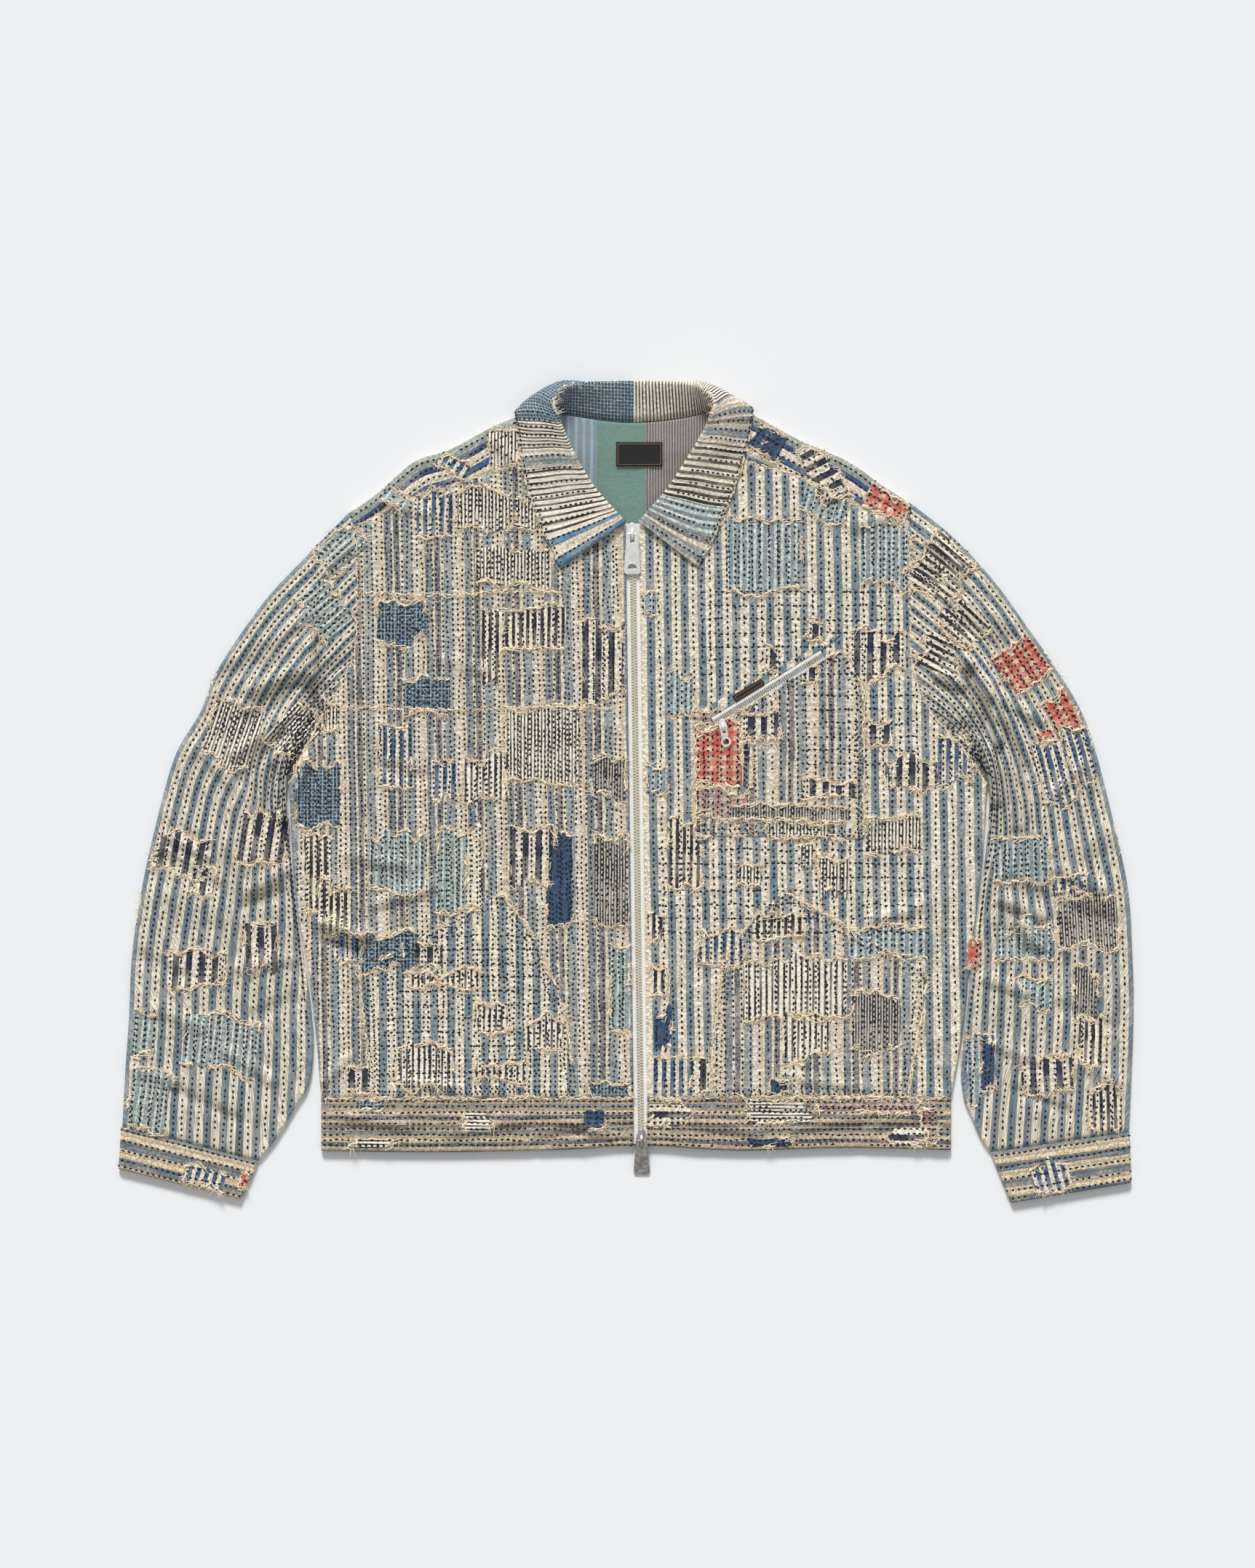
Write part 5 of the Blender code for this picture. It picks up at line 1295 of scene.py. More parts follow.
def fray_tree():
    """Yarn ends that stick out across an edge: thin three-sided spikes of uneven length."""
    tree, given, out = new_tree("frayed_edge", [
        ("Spacing", "Float", 0.0011), ("Shortest", "Float", 0.0014), ("Longest", "Float", 0.0105),
        ("Thickness", "Float", 0.0004), ("Tangle", "Float", 1.1), ("Seed", "Int", 1)])
    wire = Wire(tree)
    line = stepped(wire, given["Lines"], given["Spacing"])
    tangent = wire.add("GeometryNodeInputTangent", {}, {})
    outward = vectors(wire, "CROSS_PRODUCT", tangent, (0.0, 0.0, 1.0))
    lean = random_lean(wire, -0.1, 0.5, given["Seed"], given["Tangle"])
    aim = vectors(wire, "ADD", outward, lean)
    turn = wire.add("FunctionNodeAlignRotationToVector", {"axis": "Z"}, {"Vector": aim})
    share = random_between(wire, 0.0, 1.0, given["Seed"] + 1)
    length = given["Shortest"] + (given["Longest"] - given["Shortest"]) * share * share
    thick = given["Thickness"]
    size = wire.add("ShaderNodeCombineXYZ", {}, {0: thick, 1: thick, 2: length})
    spike = wire.add("GeometryNodeMeshCone", {"fill_type": "NONE"}, {
        "Vertices": 3, "Side Segments": 1, "Radius Top": 0.0, "Radius Bottom": 1.0, "Depth": 1.0})
    grown = wire.add("GeometryNodeInstanceOnPoints", {}, {
        "Points": line, "Instance": spike, "Rotation": turn, "Scale": size})
    return finish_tree(tree, grown, out, FRAY)


def border_tree():
    """A raw edge that has rolled up: a ragged cord of yarn along the outline."""
    tree, given, out = new_tree("rolled_raw_edge", [
        ("Step", "Float", 0.0021), ("Radius", "Float", 0.00085), ("Wander", "Float", 0.003),
        ("Seed", "Int", 1)])
    wire = Wire(tree)
    line = stepped(wire, given["Lines"], given["Step"])
    shift = random_lean(wire, -0.3, 0.3, given["Seed"], given["Wander"] * 0.5)
    line = wire.add("GeometryNodeSetPosition", {}, {"Geometry": line, "Offset": shift})
    ring = wire.add("GeometryNodeCurvePrimitiveCircle", {}, {"Resolution": 4, "Radius": 1.0})
    thick = given["Radius"] * random_between(wire, 0.2, 1.5, given["Seed"] + 1)
    cord = wire.add("GeometryNodeCurveToMesh", {}, {0: line, 1: ring, "Scale": thick})
    cord = wire.add("GeometryNodeSetShadeSmooth", {}, {0: cord})
    return finish_tree(tree, cord, out, FRAY)


def teeth_tree(name, material):
    """Zip teeth: small blocks, evenly spaced."""
    tree, given, out = new_tree(name, [
        ("Pitch", "Float", 0.0026), ("Reach", "Float", 0.0032), ("Width", "Float", 0.0014),
        ("Height", "Float", 0.0013)])
    wire = Wire(tree)
    line = stepped(wire, given["Lines"], given["Pitch"])
    size = wire.add("ShaderNodeCombineXYZ", {}, {0: given["Reach"], 1: given["Width"], 2: given["Height"]})
    block = wire.add("GeometryNodeMeshCube", {}, {"Size": size})
    turn = wire.add("FunctionNodeAlignRotationToVector", {"axis": "Y"},
                    {"Vector": wire.add("GeometryNodeInputTangent", {}, {})})
    grown = wire.add("GeometryNodeInstanceOnPoints", {}, {
        "Points": line, "Instance": block, "Rotation": turn})
    return finish_tree(tree, grown, out, material)


TREES = {"stitch": stitch_tree(), "fray": fray_tree(), "border": border_tree(),
         "teeth": teeth_tree("zip_teeth", TEETH), "small_teeth": teeth_tree("small_zip_teeth", AGED)}


def grow(name, tree, lines, closed=False, **settings):
    """Grow a tree along lines in millimetres, and keep the plain mesh."""
    verts, edges = [], []
    for line in lines:
        start = len(verts)
        verts += (np.array(line, float) * MM).tolist()
        edges += [(start + k, start + k + 1) for k in range(len(line) - 1)]
        if closed:
            edges.append((len(verts) - 1, start))
    guide_mesh = bpy.data.meshes.new("guide")
    guide_mesh.from_pydata(verts, edges, [])
    guide = linked("guide", guide_mesh)
    modifier = guide.modifiers.new("grow", "NODES")
    modifier.node_group = TREES[tree]
    sockets = {item.name: item.identifier for item in TREES[tree].interface.items_tree}
    for label, value in settings.items():
        modifier[sockets[label]] = value
    mesh = baked(guide)
    places = np.empty(len(mesh.vertices) * 3, np.float32)
    mesh.vertices.foreach_get("co", places)
    places[2::3] = np.maximum(places[2::3], 0.0)          # yarn that reaches the surface lies on it
    mesh.vertices.foreach_set("co", places)
    mesh.update()
    print(name, "faces:", len(mesh.polygons))
    return linked(name, mesh)


# %% [markdown]
# ## Stitching
# Lines of running stitch follow the stripes over everything, patches too. The more worn right
# front has closer lines. Each pocket is sewn round twice, inside its edge, and each patch has
# upright rows of its own.

# %% Stitch lines
BREAK_STEP = 8            # places between two chances that a line of stitches has worn away


def inside(places, outline):
    """Which places lie inside an outline."""
    x, y = places.T
    within = np.zeros(len(places), bool)
    for (x0, y0), (x1, y1) in zip(outline, np.roll(outline, -1, axis=0)):
        crosses = (y0 > y) != (y1 > y)
        with np.errstate(divide="ignore", invalid="ignore"):
            within ^= crosses & (x < (x1 - x0) * (y - y0) / (y1 - y0) + x0)
    return within


def wander(places, reach):
    """Hand sewing: the line drifts from side to side."""
    way = lengths(places)
    drift = sum(chance.normal(0, reach) * np.sin(way / length + chance.uniform(0, math.tau))
                for length in (31, 11, 4))
    along = unit(np.gradient(places, axis=0))
    return places + np.column_stack([-along[:, 1], along[:, 0]]) * drift[:, None]


def runs(places, outline, tree, rise, reach=0.35, breaks=0.0):
    """The stretches of a line that lie on a panel, at the surface's height."""
    places = wander(places, reach)
    keep = inside(places, outline)
    if breaks:
        stops = np.arange(0, len(keep) + BREAK_STEP, BREAK_STEP)
        chances = chance.random(len(keep) // BREAK_STEP + 2)[:len(stops)]
        keep &= np.interp(np.arange(len(keep)), stops, chances) > breaks
    lines = []
    for part in np.split(np.arange(len(places)), np.flatnonzero(np.diff(keep)) + 1):
        if keep[part[0]] and len(part) > 3:
            lines.append(on_cloth(places[part], rise, tree))
    return lines


def rim(rings):
    """The outline of a flattened tube."""
    return np.vstack([rings[:, 0], rings[-1], rings[::-1, -1], rings[0, ::-1]])


def front_outline(column, armhole, neck, seam):
    away = -1 if column == 1 else 1
    side = [(row[column], row[0]) for row in SIDE]
    ring = side + armhole[1:-1] + seam[::-1][1:] + neck[::-1][1:]
    ring.append((zip_x(HEM_SEAM_Y) + away * 8, HEM_SEAM_Y))
    ring = np.array(ring, float)
    middle = ring.mean(axis=0)
    return middle + (ring - middle) * 0.99


OUTLINE_RIGHT = front_outline(1, ARMHOLE_RIGHT, NECK_RIGHT, SEAM_RIGHT)
OUTLINE_LEFT = front_outline(2, ARMHOLE_LEFT, NECK_LEFT, SEAM_LEFT)
UP = np.arange(HEM_SEAM_Y + 3, 306, 3.0)
RISE = 0.12
stitches = {}

lines = []
for k in range(2, 72):
    x = zip_x(UP) - WORN_ROW_GAP * k
    lines += runs(np.column_stack([x, UP]), OUTLINE_RIGHT, patched_tree, RISE, 0.45, 0.14)
stitches["front_right"] = lines

lines = []
for k in range(1, 42):
    x = zip_x(UP) + ROW_GAP * k
    lines += runs(np.column_stack([x, UP]), OUTLINE_LEFT, patched_tree, RISE, 0.3, 0.05)
for x0, x1, y0, y1 in (
        (60, 236, 106, 188), (20, 262, -128, -52), (-232, -92, -256, -128), (150, 250, 12, 90)):
    for y in np.arange(y0, y1, 12.5):          # places where level rows cross the upright ones
        row = even([(x0, y), (x1, y)], round((x1 - x0) / 3))
        lines += runs(row, OUTLINE_LEFT if x0 > 0 else OUTLINE_RIGHT, patched_tree, RISE, 0.5, 0.12)
stitches["front_left"] = lines

for side, rings in SLEEVE_LINES.items():
    distance = travelled(rings)
    lines = []
    for u in np.arange(ROW_GAP, 300, ROW_GAP):
        fits = np.flatnonzero(distance[:, -1] > u + 3)
        if len(fits) < 6:
            continue
        spots = np.array([[np.interp(u, distance[k], rings[k, :, axis]) for axis in (0, 1)] for k in fits])
        lines += runs(spots, rim(rings), patched_tree, RISE, 0.3, 0.06)
    stitches[f"sleeve_{side}"] = lines

trim = []
for rings in CUFF_LINES.values():
    for ring in (1, 4, 7, 10, 12):
        trim += runs(even(rings[ring], 45), rim(rings), patched_tree, RISE, 0.2)
hem_ring = np.array([(-286, HEM_SEAM_Y - 1), (283, HEM_SEAM_Y - 1), (283, -324), (-286, -324)], float)
for drop in (3, 7.5, 13, 18, 23, 28, 33, 38, 42.5):
    for x0, x1 in ((-284, -6), (10, 281)):
        trim += runs(even([(x0, HEM_SEAM_Y - drop), (x1, HEM_SEAM_Y - drop)], 100), hem_ring, patched_tree,
                     RISE, 0.3, 0.1)
for fold, seam in ((FOLD_RIGHT, SEAM_RIGHT), (FOLD_LEFT, SEAM_LEFT)):
    outline = np.array(fold + seam[::-1], float)
    tangent = unit(np.gradient(smooth(fold, 70), axis=0))
    normal = np.column_stack([tangent[:, 1], -tangent[:, 0]])
    normal *= -np.sign(normal[:, 1:])
    for depth in (4, 12, 20, 28, 36):
        trim += runs(smooth(fold, 70) + normal * depth, outline, patched_tree, RISE, 0.2)
stitches["trim"] = trim

# %% Stitches round the pockets and on the patches
def shrunk(edge, margin):
    """An outline moved in by a margin."""
    middle = edge.mean(axis=0)
    away = np.linalg.norm(edge - middle, axis=1, keepdims=True)
    return middle + (edge - middle) * np.clip(1 - margin / away, 0.2, 1)


rings = []
for edge in POCKET_EDGES:
    for margin in (3.0, 8.0):
        rings.append(on_cloth(shrunk(edge, margin), RISE, patched_tree))
lines = []
for _, x, y, width, height, extra in PATCHES:
    turn = grain(x, y) + math.radians(extra)
    c, s = math.cos(turn), math.sin(turn)
    for u in np.arange(-width / 2 + 2.6, width / 2 - 1, 9.0):
        way = np.linspace(-height / 2 + 1, height / 2 - 1, max(5, round(height / 3)))
        spots = np.column_stack([u * c - way * s, u * s + way * c]) + [x, y]
        spots = np.array([spot for spot in wander(spots, 0.25) if hit_below(body_tree, spot) is not None])
        if len(spots) > 3:
            lines.append(on_cloth(spots, RISE, patched_tree))
stitches["patches"] = lines

# %% Stitches on the collar
collar_tree = search_tree([collar_panel])
lines = []
for k in range(2, len(COLLAR_POINTS) - 1, 4):
    line = COLLAR_POINTS[k, 15:37, :2]
    if COLLAR_POINTS[k, 36, 2] > 6:
        lines.append(on_cloth(line, RISE, collar_tree))
border = COLLAR_POINTS[:, 35, :2]
on_leaf = COLLAR_POINTS[:, 35, 2] > 7
for part in np.split(np.arange(len(border)), np.flatnonzero(np.diff(on_leaf)) + 1):
    if on_leaf[part[0]]:
        lines.append(on_cloth(border[part], RISE, collar_tree))
stitches["collar"] = lines

GROWN = []
for number, (region, lines) in enumerate(stitches.items()):
    dense = region in ("front_right", "collar", "patches")
    GROWN.append(grow(f"stitches_{region}", "stitch", lines, Seed=number + 3,
                      Pitch=(4.6 if dense else 5.3) * MM, Length=(3.1 if dense else 3.7) * MM))
GROWN.append(grow("stitches_round_patches", "stitch", rings, closed=True, Seed=31, Pitch=4.8 * MM,
                  Length=2.3 * MM))

# %% [markdown]
# ## Raw edges
# Stretches of the patch and pocket edges, mostly at their ends, have frayed and rolled up. The
# seams of the worn cloth are raw too.

# %% Frayed and rolled edges
raw = [on_cloth(edge, 0.2, patched_tree) for edge in EDGES]
GROWN.append(grow("frayed_patch_edges", "fray", raw, Seed=5))
GROWN.append(grow("rolled_patch_edges", "border", raw, Seed=8))
for number, (wide, step) in enumerate(((5.5, 3.0), (9.0, 4.2))):
    high = [line + [0, 0, 0.5 + 0.4 * number] for line in raw]
    GROWN.append(grow(f"loose_yarn_{number}", "border", high, Seed=28 + number, Radius=0.4 * MM,
                      Wander=wide * MM, Step=step * MM))
OPEN_EDGES = [smooth(line, 90) for line in (
    SEAM_RIGHT, SEAM_LEFT, ARMHOLE_RIGHT[:-1], ARMHOLE_LEFT[:-1],
    [(-252, 181), (-180, 178), (-100, 182), (-70, 180)], [(-262, 77), (-170, 74), (-80, 77), (-14, 75)],
    [(-285, HEM_SEAM_Y), (-150, HEM_SEAM_Y - 1), (-8, HEM_SEAM_Y)],
    [(12, HEM_SEAM_Y), (150, HEM_SEAM_Y + 1), (282, HEM_SEAM_Y)])]
for fold_line, first in ((SLEEVE_OUTER_LEFT, 34), (SLEEVE_OUTER_LEFT, 49), (SLEEVE_OUTER_LEFT, 66),
                         (SLEEVE_OUTER_RIGHT, 36), (SLEEVE_OUTER_RIGHT, 78)):
    # torn places on the sleeves' outer folds
    OPEN_EDGES.append(smooth(fold_line, 120)[first:first + 6])
seams = [on_cloth(line, 0.1, patched_tree) for line in OPEN_EDGES]
leaf_edge, roll = COLLAR_POINTS[:, -1] + [0, 0, 0.5], COLLAR_POINTS[:, 8] + [0, 0, 0.3]
seams += [leaf_edge[2:44], leaf_edge[-44:-2], roll[50:-50]]
GROWN.append(grow("frayed_seams", "fray", seams, Seed=15, Tangle=1.2))
GROWN.append(grow("rolled_seams", "border", seams, Seed=18, Radius=0.7 * MM))
high = [line + [0, 0, 0.6] for line in seams[4:8]]
GROWN.append(grow("loose_seam_yarn", "border", high, Seed=38, Radius=0.45 * MM, Wander=6.5 * MM,
                  Step=3.2 * MM))

# %% [markdown]
# ## Zips
# The teeth are small blocks in two rows that mesh. Sliders and pulls are cut from flat metal, so
# each is a flat outline with its holes, given thickness and rounded edges by a curve's bevel.

# %% Teeth
def side_line(start, end, offset, z, count=60):
    """A line beside the straight line between two places."""
    start, end = np.array(start, float), np.array(end, float)
    along = unit(end - start)
    line = even([start, end], count) + np.array([-along[1], along[0]]) * offset
    return np.column_stack([line, np.broadcast_to(z, count)])


MAIN_TEETH_Z = 5.35
PITCH = 2.6
FIRST_TOOTH_Y, LAST_TOOTH_Y = -312.0, 238.0
zip_foot, zip_top = (zip_x(FIRST_TOOTH_Y), FIRST_TOOTH_Y), (zip_x(LAST_TOOTH_Y), LAST_TOOTH_Y)
meshing = (zip_foot[0], zip_foot[1] + PITCH / 2), (zip_top[0], zip_top[1] + PITCH / 2)
teeth = grow("zip_teeth", "teeth", [side_line(zip_foot, zip_top, 1.15, MAIN_TEETH_Z),
                                    side_line(*meshing, -1.15, MAIN_TEETH_Z)], Pitch=PITCH * MM)
chest_teeth_z = float(np.median(height_at(patched_tree, even(CHEST_ZIP, 20)))) + 1.9
chest_teeth = grow("chest_zip_teeth", "small_teeth", [
    side_line(*CHEST_ZIP, 0.9, chest_teeth_z), side_line(*CHEST_ZIP, -0.9, chest_teeth_z - 0.05)],
    Pitch=2.1 * MM, Reach=2.4 * MM, Width=1.1 * MM, Height=1.1 * MM)

# %% Flat metal
def plate(name, outlines, thickness, material, bevel=0.28):
    """Flat metal: the first outline is its edge and the others are holes. Lies in the XY plane."""
    curve = bpy.data.curves.new(name, "CURVE")
    curve.dimensions = "2D"
    curve.fill_mode = "BOTH"
    curve.extrude = (thickness / 2 - bevel) * MM
    curve.bevel_depth = bevel * MM
    curve.bevel_resolution = 2
    for outline in outlines:
        spline = curve.splines.new("POLY")
        spline.points.add(len(outline) - 1)
        for point, (x, y) in zip(spline.points, outline):
            point.co = (x * MM, y * MM, 0, 1)
        spline.use_cyclic_u = True
    mesh = baked(linked(name, curve))
    mesh.materials.clear()
    mesh.materials.append(material)
    return mesh


def placed(mesh, place, tilt=0.0, turn=0.0, lift=0.0):
    """Tilt a flat piece about its axle, turn it, and move it to its place in millimetres."""
    turned = Matrix.Rotation(turn, 4, "Z") @ Matrix.Rotation(tilt, 4, "X")
    shift = Matrix.Translation(Vector(place) * MM) @ turned
    mesh.transform(shift @ Matrix.Translation((0, 0, lift * MM)))
    return mesh


def joined(name, meshes):
    """Several meshes as one smooth-shaded piece with sharp edges kept."""
    shape = bmesh.new()
    for mesh in meshes:
        shape.from_mesh(mesh)
    bmesh.ops.remove_doubles(shape, verts=shape.verts[:], dist=1e-6)
    bmesh.ops.recalc_face_normals(shape, faces=shape.faces[:])
    whole = bpy.data.meshes.new(name)
    shape.to_mesh(whole)
    shape.free()
    whole.materials.append(meshes[0].materials[0])
    whole.shade_smooth()
    whole.set_sharp_from_angle(angle=math.radians(35))
    return linked(name, whole)


def arc(centre, radius, start, end, count, squash=1.0):
    return [(centre[0] + radius * math.cos(a), centre[1] + radius * squash * math.sin(a))
            for a in np.radians(np.linspace(start, end, count))]


def scaled(outline, size):
    return [(x * size, y * size) for x, y in outline]


AXLE_Z = 9.3
BRIDGE = [(-5.2, -2.0), (-4.6, 0.2), (-2.4, 1.7), (-1.2, 2.2), (3.0, 2.2), (4.4, 1.2), (4.8, -2.0),
          (3.6, -2.0), (3.2, 1.2), (2.4, 1.45), (-1.2, 1.45), (-2.6, -0.4), (-3.6, -2.0)]


def slider(name, place, turn, size, material):
    """Two wings and a tongue, with a bridge over them that holds the pull's axle."""
    body = arc((0, 7.4), 3.2, 20, 160, 8, 0.8) + arc((-3.4, 1.6), 1.4, 150, 230, 4)
    body += [(-1.6, -1.2), (-1.5, -5.2), (1.5, -5.2), (1.6, -1.2)] + arc((3.4, 1.6), 1.4, -50, 30, 4)
    wings = placed(plate("wings", [scaled(body, size)], 1.2, material), place, turn=turn, lift=-2.3 * size)
    bridge = plate("bridge", [scaled(BRIDGE, size)], 2.0 * size, material)
    bridge.transform(Matrix.Rotation(math.pi / 2, 4, "Z") @ Matrix.Rotation(math.pi / 2, 4, "X"))
    bridge.transform(Matrix.Rotation(math.pi, 4, "Z"))
    return joined(name, [wings, placed(bridge, place, turn=turn)])


def tab_outline(half_top, half_foot, reach, corner=2.6):
    foot = arc((half_foot - corner, -reach + corner), corner, 0, -90, 6)
    foot += arc((-half_foot + corner, -reach + corner), corner, -90, -180, 6)
    head = arc((-half_top + 1.2, -0.7), 1.2, 180, 90, 4) + arc((half_top - 1.2, -0.7), 1.2, 90, 0, 4)
    return head + foot


# The slot's bevel leaves an axle bar about 1.8 mm wide above it.
SLOT = [(-2.3, -0.5), (2.3, -0.5), (2.3, -8.2), (-2.3, -8.2)]
top_place = (zip_x(233.5), 233.5, AXLE_Z)
round_hole = arc((0, -31.9), 4.5, 0, 180, 14, 1.05)
top_tilt = math.asin(1.5 / 36.3)
top_pull = joined("zip_pull_top_dressed", [
    placed(plate("tab", [tab_outline(5.0, 7.2, 36.3), SLOT, round_hole], 1.6, BRIGHT, 0.4),
           top_place, top_tilt),
    placed(plate("rib", [arc((0, -31.6), 5.6, 0, 180, 14, 1.05) + arc((0, -31.9), 4.9, 180, 0, 14, 1.05)],
                 0.5, BRIGHT, 0.15), top_place, top_tilt, lift=0.85)])
top_slider = slider("zip_slider_top_dressed", top_place, 0.0, 1.0, BRIGHT)

foot_place = (zip_x(-317.0) + 0.6, -317.0, AXLE_Z)
foot_tilt = math.asin((AXLE_Z - 1.5) / 31.5)
wedge_hole = [(-3.6, -28.0), (-2.7, -25.4), (-1.3, -24.4), (1.3, -24.4), (2.7, -25.4), (3.6, -28.0)]
left_rib = [(-4.9, -9.5), (-3.9, -9.5), (-4.6, -29.0), (-6.5, -29.0)]
foot_pull = joined("zip_pull_bottom_dressed", [
    placed(plate("tab", [tab_outline(5.0, 7.0, 31.5), SLOT, wedge_hole], 1.4, AGED, 0.35),
           foot_place, foot_tilt),
    placed(plate("left", [left_rib], 0.6, AGED, 0.2), foot_place, foot_tilt, lift=0.8),
    placed(plate("right", [[(-x, y) for x, y in left_rib[::-1]]], 0.6, AGED, 0.2), foot_place, foot_tilt,
           lift=0.8)])
foot_slider = slider("zip_slider_bottom_dressed", foot_place, 0.0, 1.0, AGED)

CHEST_SIZE, CHEST_TURN = 0.72, math.radians(11)
chest_place = (77.5, 58.5, 12.22)
chest_tilt = math.asin(2.4 / 19)
link = [(-3.1, 0.36), (3.1, 0.36), (3.1, -8.2), (1.9, -9.6), (-1.9, -9.6), (-3.1, -8.2)]
link_slot = scaled([(-2.3, -0.5), (2.3, -0.5), (2.3, -8.6), (-2.3, -8.6)], CHEST_SIZE)
ring_edge, ring_hole = [arc((0, -14.0), radius, 0, 345, 24) for radius in (4.4, 3.1)]
chest_pull = joined("chest_pull_dressed", [
    placed(plate("link", [link, link_slot], 1.2, BRIGHT, 0.25), chest_place, chest_tilt, CHEST_TURN),
    placed(plate("ring", [ring_edge, ring_hole], 1.2, BRIGHT, 0.35), chest_place, chest_tilt, CHEST_TURN)])
chest_slider = slider("chest_slider_dressed", chest_place, CHEST_TURN, CHEST_SIZE, BRIGHT)

# %% Labels
LABEL_CLOTH = 0.5


def label(name, start, end, half, rise):
    """A woven label laid on the cloth. Its map holds the distance in from its edge."""
    start, end = np.array(start, float), np.array(end, float)
    length = float(np.linalg.norm(end - start))
    across = np.array([-(end - start)[1], (end - start)[0]]) / length * half
    s, t = np.meshgrid(np.linspace(0, 1, 29), np.linspace(-1, 1, 15))
    place = start + s[..., None] * (end - start) + t[..., None] * across
    z = height_at(patched_tree, place.reshape(-1, 2)).reshape(s.shape)
    z = np.maximum(z, np.median(z)) * 0.5 + np.median(z) * 0.5 + rise
    inset = np.minimum(np.minimum(s, 1 - s) * length, (1 - np.abs(t)) * half)
    points = np.concatenate([place, z[..., None]], axis=2)
    piece = sheet(name, points, np.stack([inset, s], axis=2), [LABEL])
    piece.modifiers["wall"].thickness = LABEL_CLOTH * MM
    return piece


neck_label = label("neck_label_dressed", (-19.5, 306), (22.5, 306), 11, 0.6)
tab_label = label("chest_tab_dressed", *CHEST_TAB, 0.8)
for name in ("zip_tape_right", "zip_tape_left", "chest_zip_tape"):
    for material_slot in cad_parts[name].material_slots:
        material_slot.material = TAPE

# %% [markdown]
# ## Bodies, nodes and the cut of the cloth
# Every piece rides on a body of the part, and stands for the plain solids it dresses. The size
# each sheet was cut to is listed with it, all round where it is a tube, though nothing uses it.

# %% Bodies and nodes
def dress(thing, body, slot, *nodes):
    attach(thing, body)
    if nodes:
        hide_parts(*nodes)


def cut(thing, width, length, area=None, held="laid", rests_on=("the surface",)):
    """Flat size in millimetres, and the area in square millimetres where the cut is not a rectangle."""
    width * MM
    length * MM
    None if area is None else area * MM * MM


ON_BACK = ["cloth_back", "cloth_yoke"]
ON_FRONTS = ["cloth_front_right", "cloth_front_left"]
dress(front_right, "jacket", "worn_cloth", "front_right")
dress(front_left, "jacket", "striped_cloth", "front_left")
dress(back_panel, "jacket", "inner_cloth", "back")
dress(yoke_panel, "jacket", "striped_cloth", "yoke")
dress(band, "jacket", "worn_cloth", "waistband")
dress(collar_panel, "jacket", "striped_cloth", "collar")
cut(front_right, 324, 586, 155700, rests_on=ON_BACK)
cut(front_left, 327, 587, 154000, rests_on=ON_BACK)
cut(back_panel, 637, 467, 260000)
cut(yoke_panel, 512, 232, 89600)
cut(band, 1140, 52, 53800)
cut(collar_panel, 539, 93, 38600, held="folded", rests_on=ON_FRONTS + ["cloth_yoke"])
SLEEVE_CUTS = {"right": (527, 616, 145900), "left": (562, 632, 145700)}
CUFF_CUTS = {"right": (258, 39, 9300), "left": (255, 50, 11300)}
for thing, cuff, side in zip(sleeves, cuffs, SLEEVE_LINES):
    dress(thing, "jacket", "striped_cloth", f"sleeve_{side}")
    dress(cuff, "jacket", "striped_cloth", f"cuff_{side}")
    cut(thing, *SLEEVE_CUTS[side])
    cut(cuff, *CUFF_CUTS[side])
for thing, nodes, size in LAID:
    dress(thing, "jacket", "pocket_cloth", *nodes)
    cut(thing, *size, rests_on=ON_FRONTS)
for thing in GROWN:
    dress(thing, "jacket", "striped_cloth")
dress(teeth, "jacket", "teeth", "zip_chain")
dress(chest_teeth, "jacket", "teeth", "chest_zip_chain")
dress(top_pull, "top_pull", "bright_metal", "zip_pull_top")
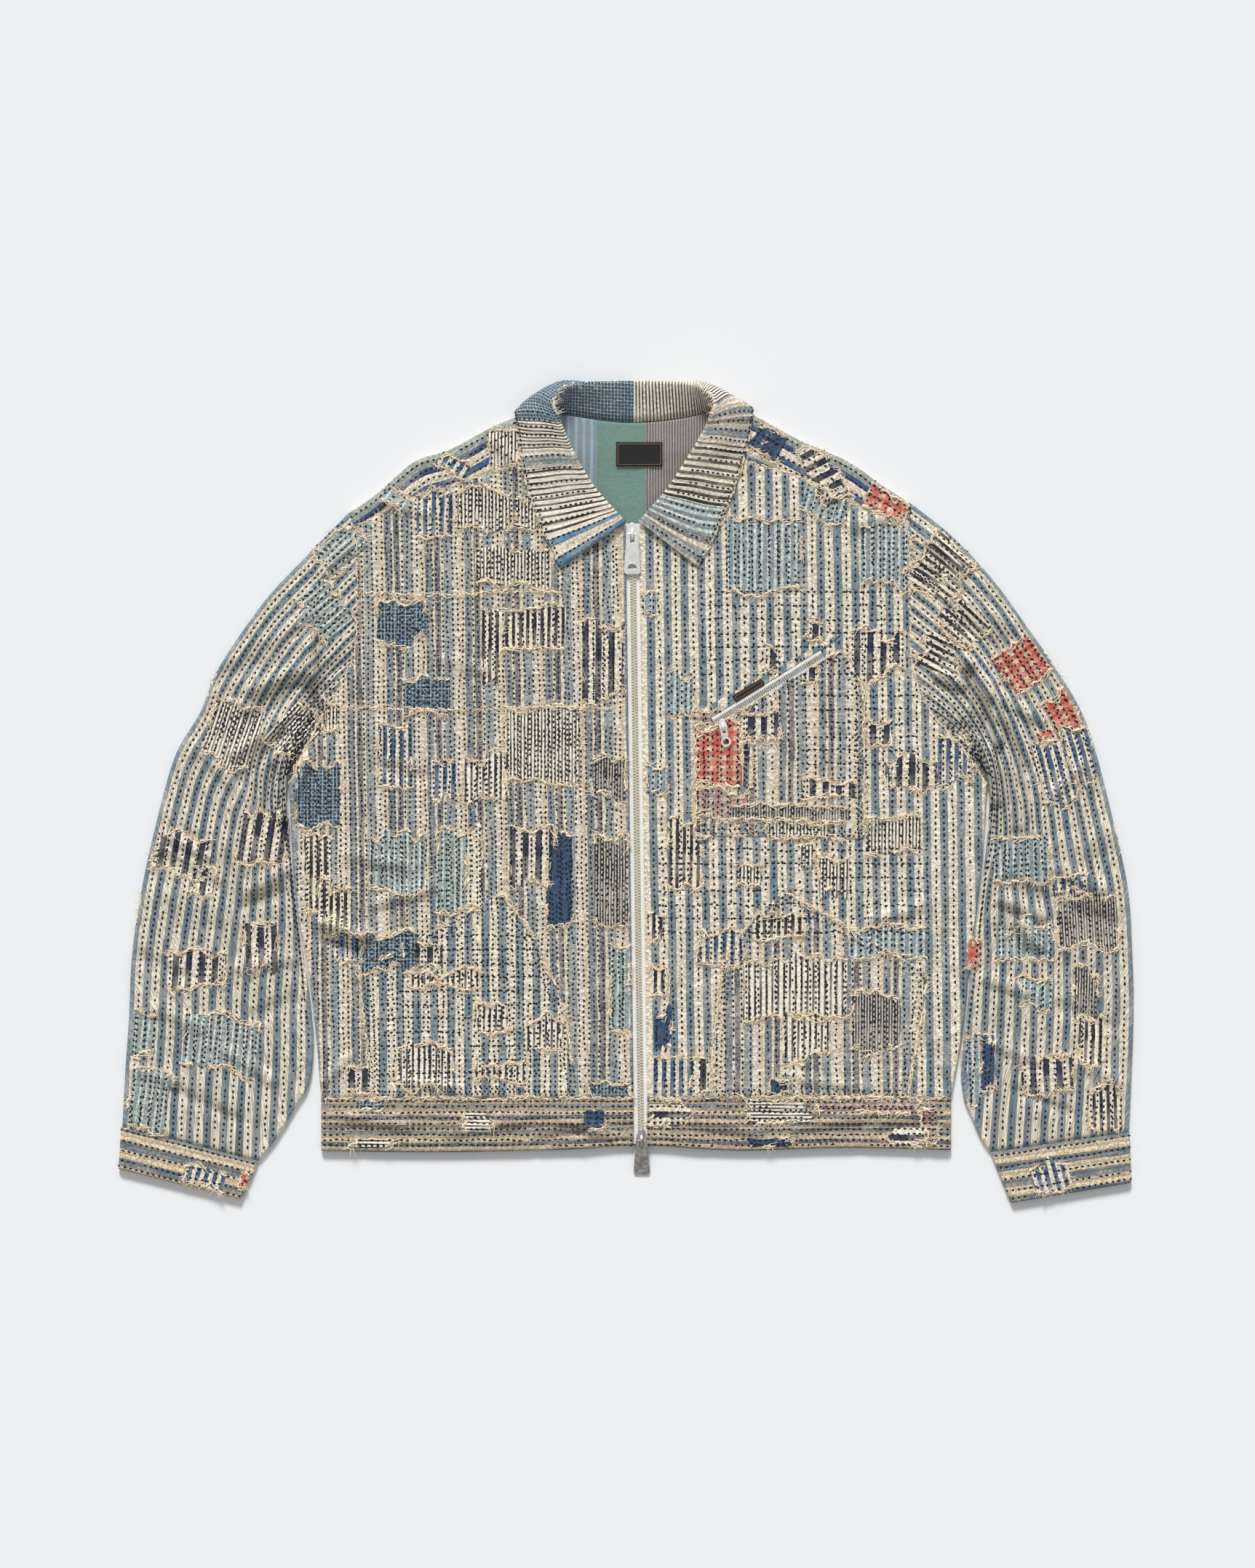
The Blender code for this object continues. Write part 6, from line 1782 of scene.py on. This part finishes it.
dress(foot_pull, "bottom_pull", "aged_metal", "zip_pull_bottom")
dress(chest_pull, "pocket_pull", "bright_metal", "chest_pull")
dress(top_slider, "jacket", "bright_metal", "zip_slider_top")
dress(foot_slider, "jacket", "aged_metal", "zip_slider_bottom")
dress(chest_slider, "jacket", "bright_metal", "chest_slider")
dress(neck_label, "jacket", "black_label", "neck_label")
dress(tab_label, "jacket", "black_label", "chest_tab")
cut(neck_label, 42, 22, rests_on=["cloth_yoke"])
cut(tab_label, 30.5, 10, area=208, rests_on=["cloth_chest_welt"])

# %% [markdown]
# ## Surface, light and camera
# The jacket lies on a plain pale surface. A soft sun from beyond the collar gives the shade under
# the hem, and an even sky fills it. The camera looks straight down.

# %% Surface
def pale_floor():
    material, shader, _ = new_material("plain_pale_surface", 0.9)
    shader.inputs["Base Color"].default_value = tint(239, 240, 242)
    mesh = bpy.data.meshes.new("surface")
    mesh.from_pydata([(-4, -4, 0), (4, -4, 0), (4, 4, 0), (-4, 4, 0)], [], [(0, 1, 2, 3)])
    mesh.materials.append(material)
    floor = linked("surface", mesh)


pale_floor()

# %% Light
world = bpy.data.worlds.new("sky")
world.use_nodes = True
sky = world.node_tree.nodes["Background"]
sky.inputs["Color"].default_value = (0.98, 0.99, 1.0, 1.0)
sky.inputs["Strength"].default_value = 0.46
bpy.context.scene.world = world
sun = linked("soft_sun", bpy.data.lights.new("soft_sun", "SUN"))
sun.data.energy = 2.96
sun.data.angle = math.radians(16)
sun.rotation_euler = (math.radians(-54), math.radians(-10), 0)

# %% Camera
VIEW_CENTRE = (-9.24, 6.6)        # millimetres
VIEW_HEIGHT = 1423.0
DISTANCE = 6000.0
SENSOR = 36
camera = linked("camera", bpy.data.cameras.new("camera"))
camera.data.sensor_width = SENSOR
camera.data.lens = SENSOR * DISTANCE / VIEW_HEIGHT
camera.data.clip_end = 20
camera.location = (VIEW_CENTRE[0] * MM, VIEW_CENTRE[1] * MM, (DISTANCE + 6) * MM)
bpy.context.scene.camera = camera
bpy.context.scene.view_settings.view_transform = "Standard"
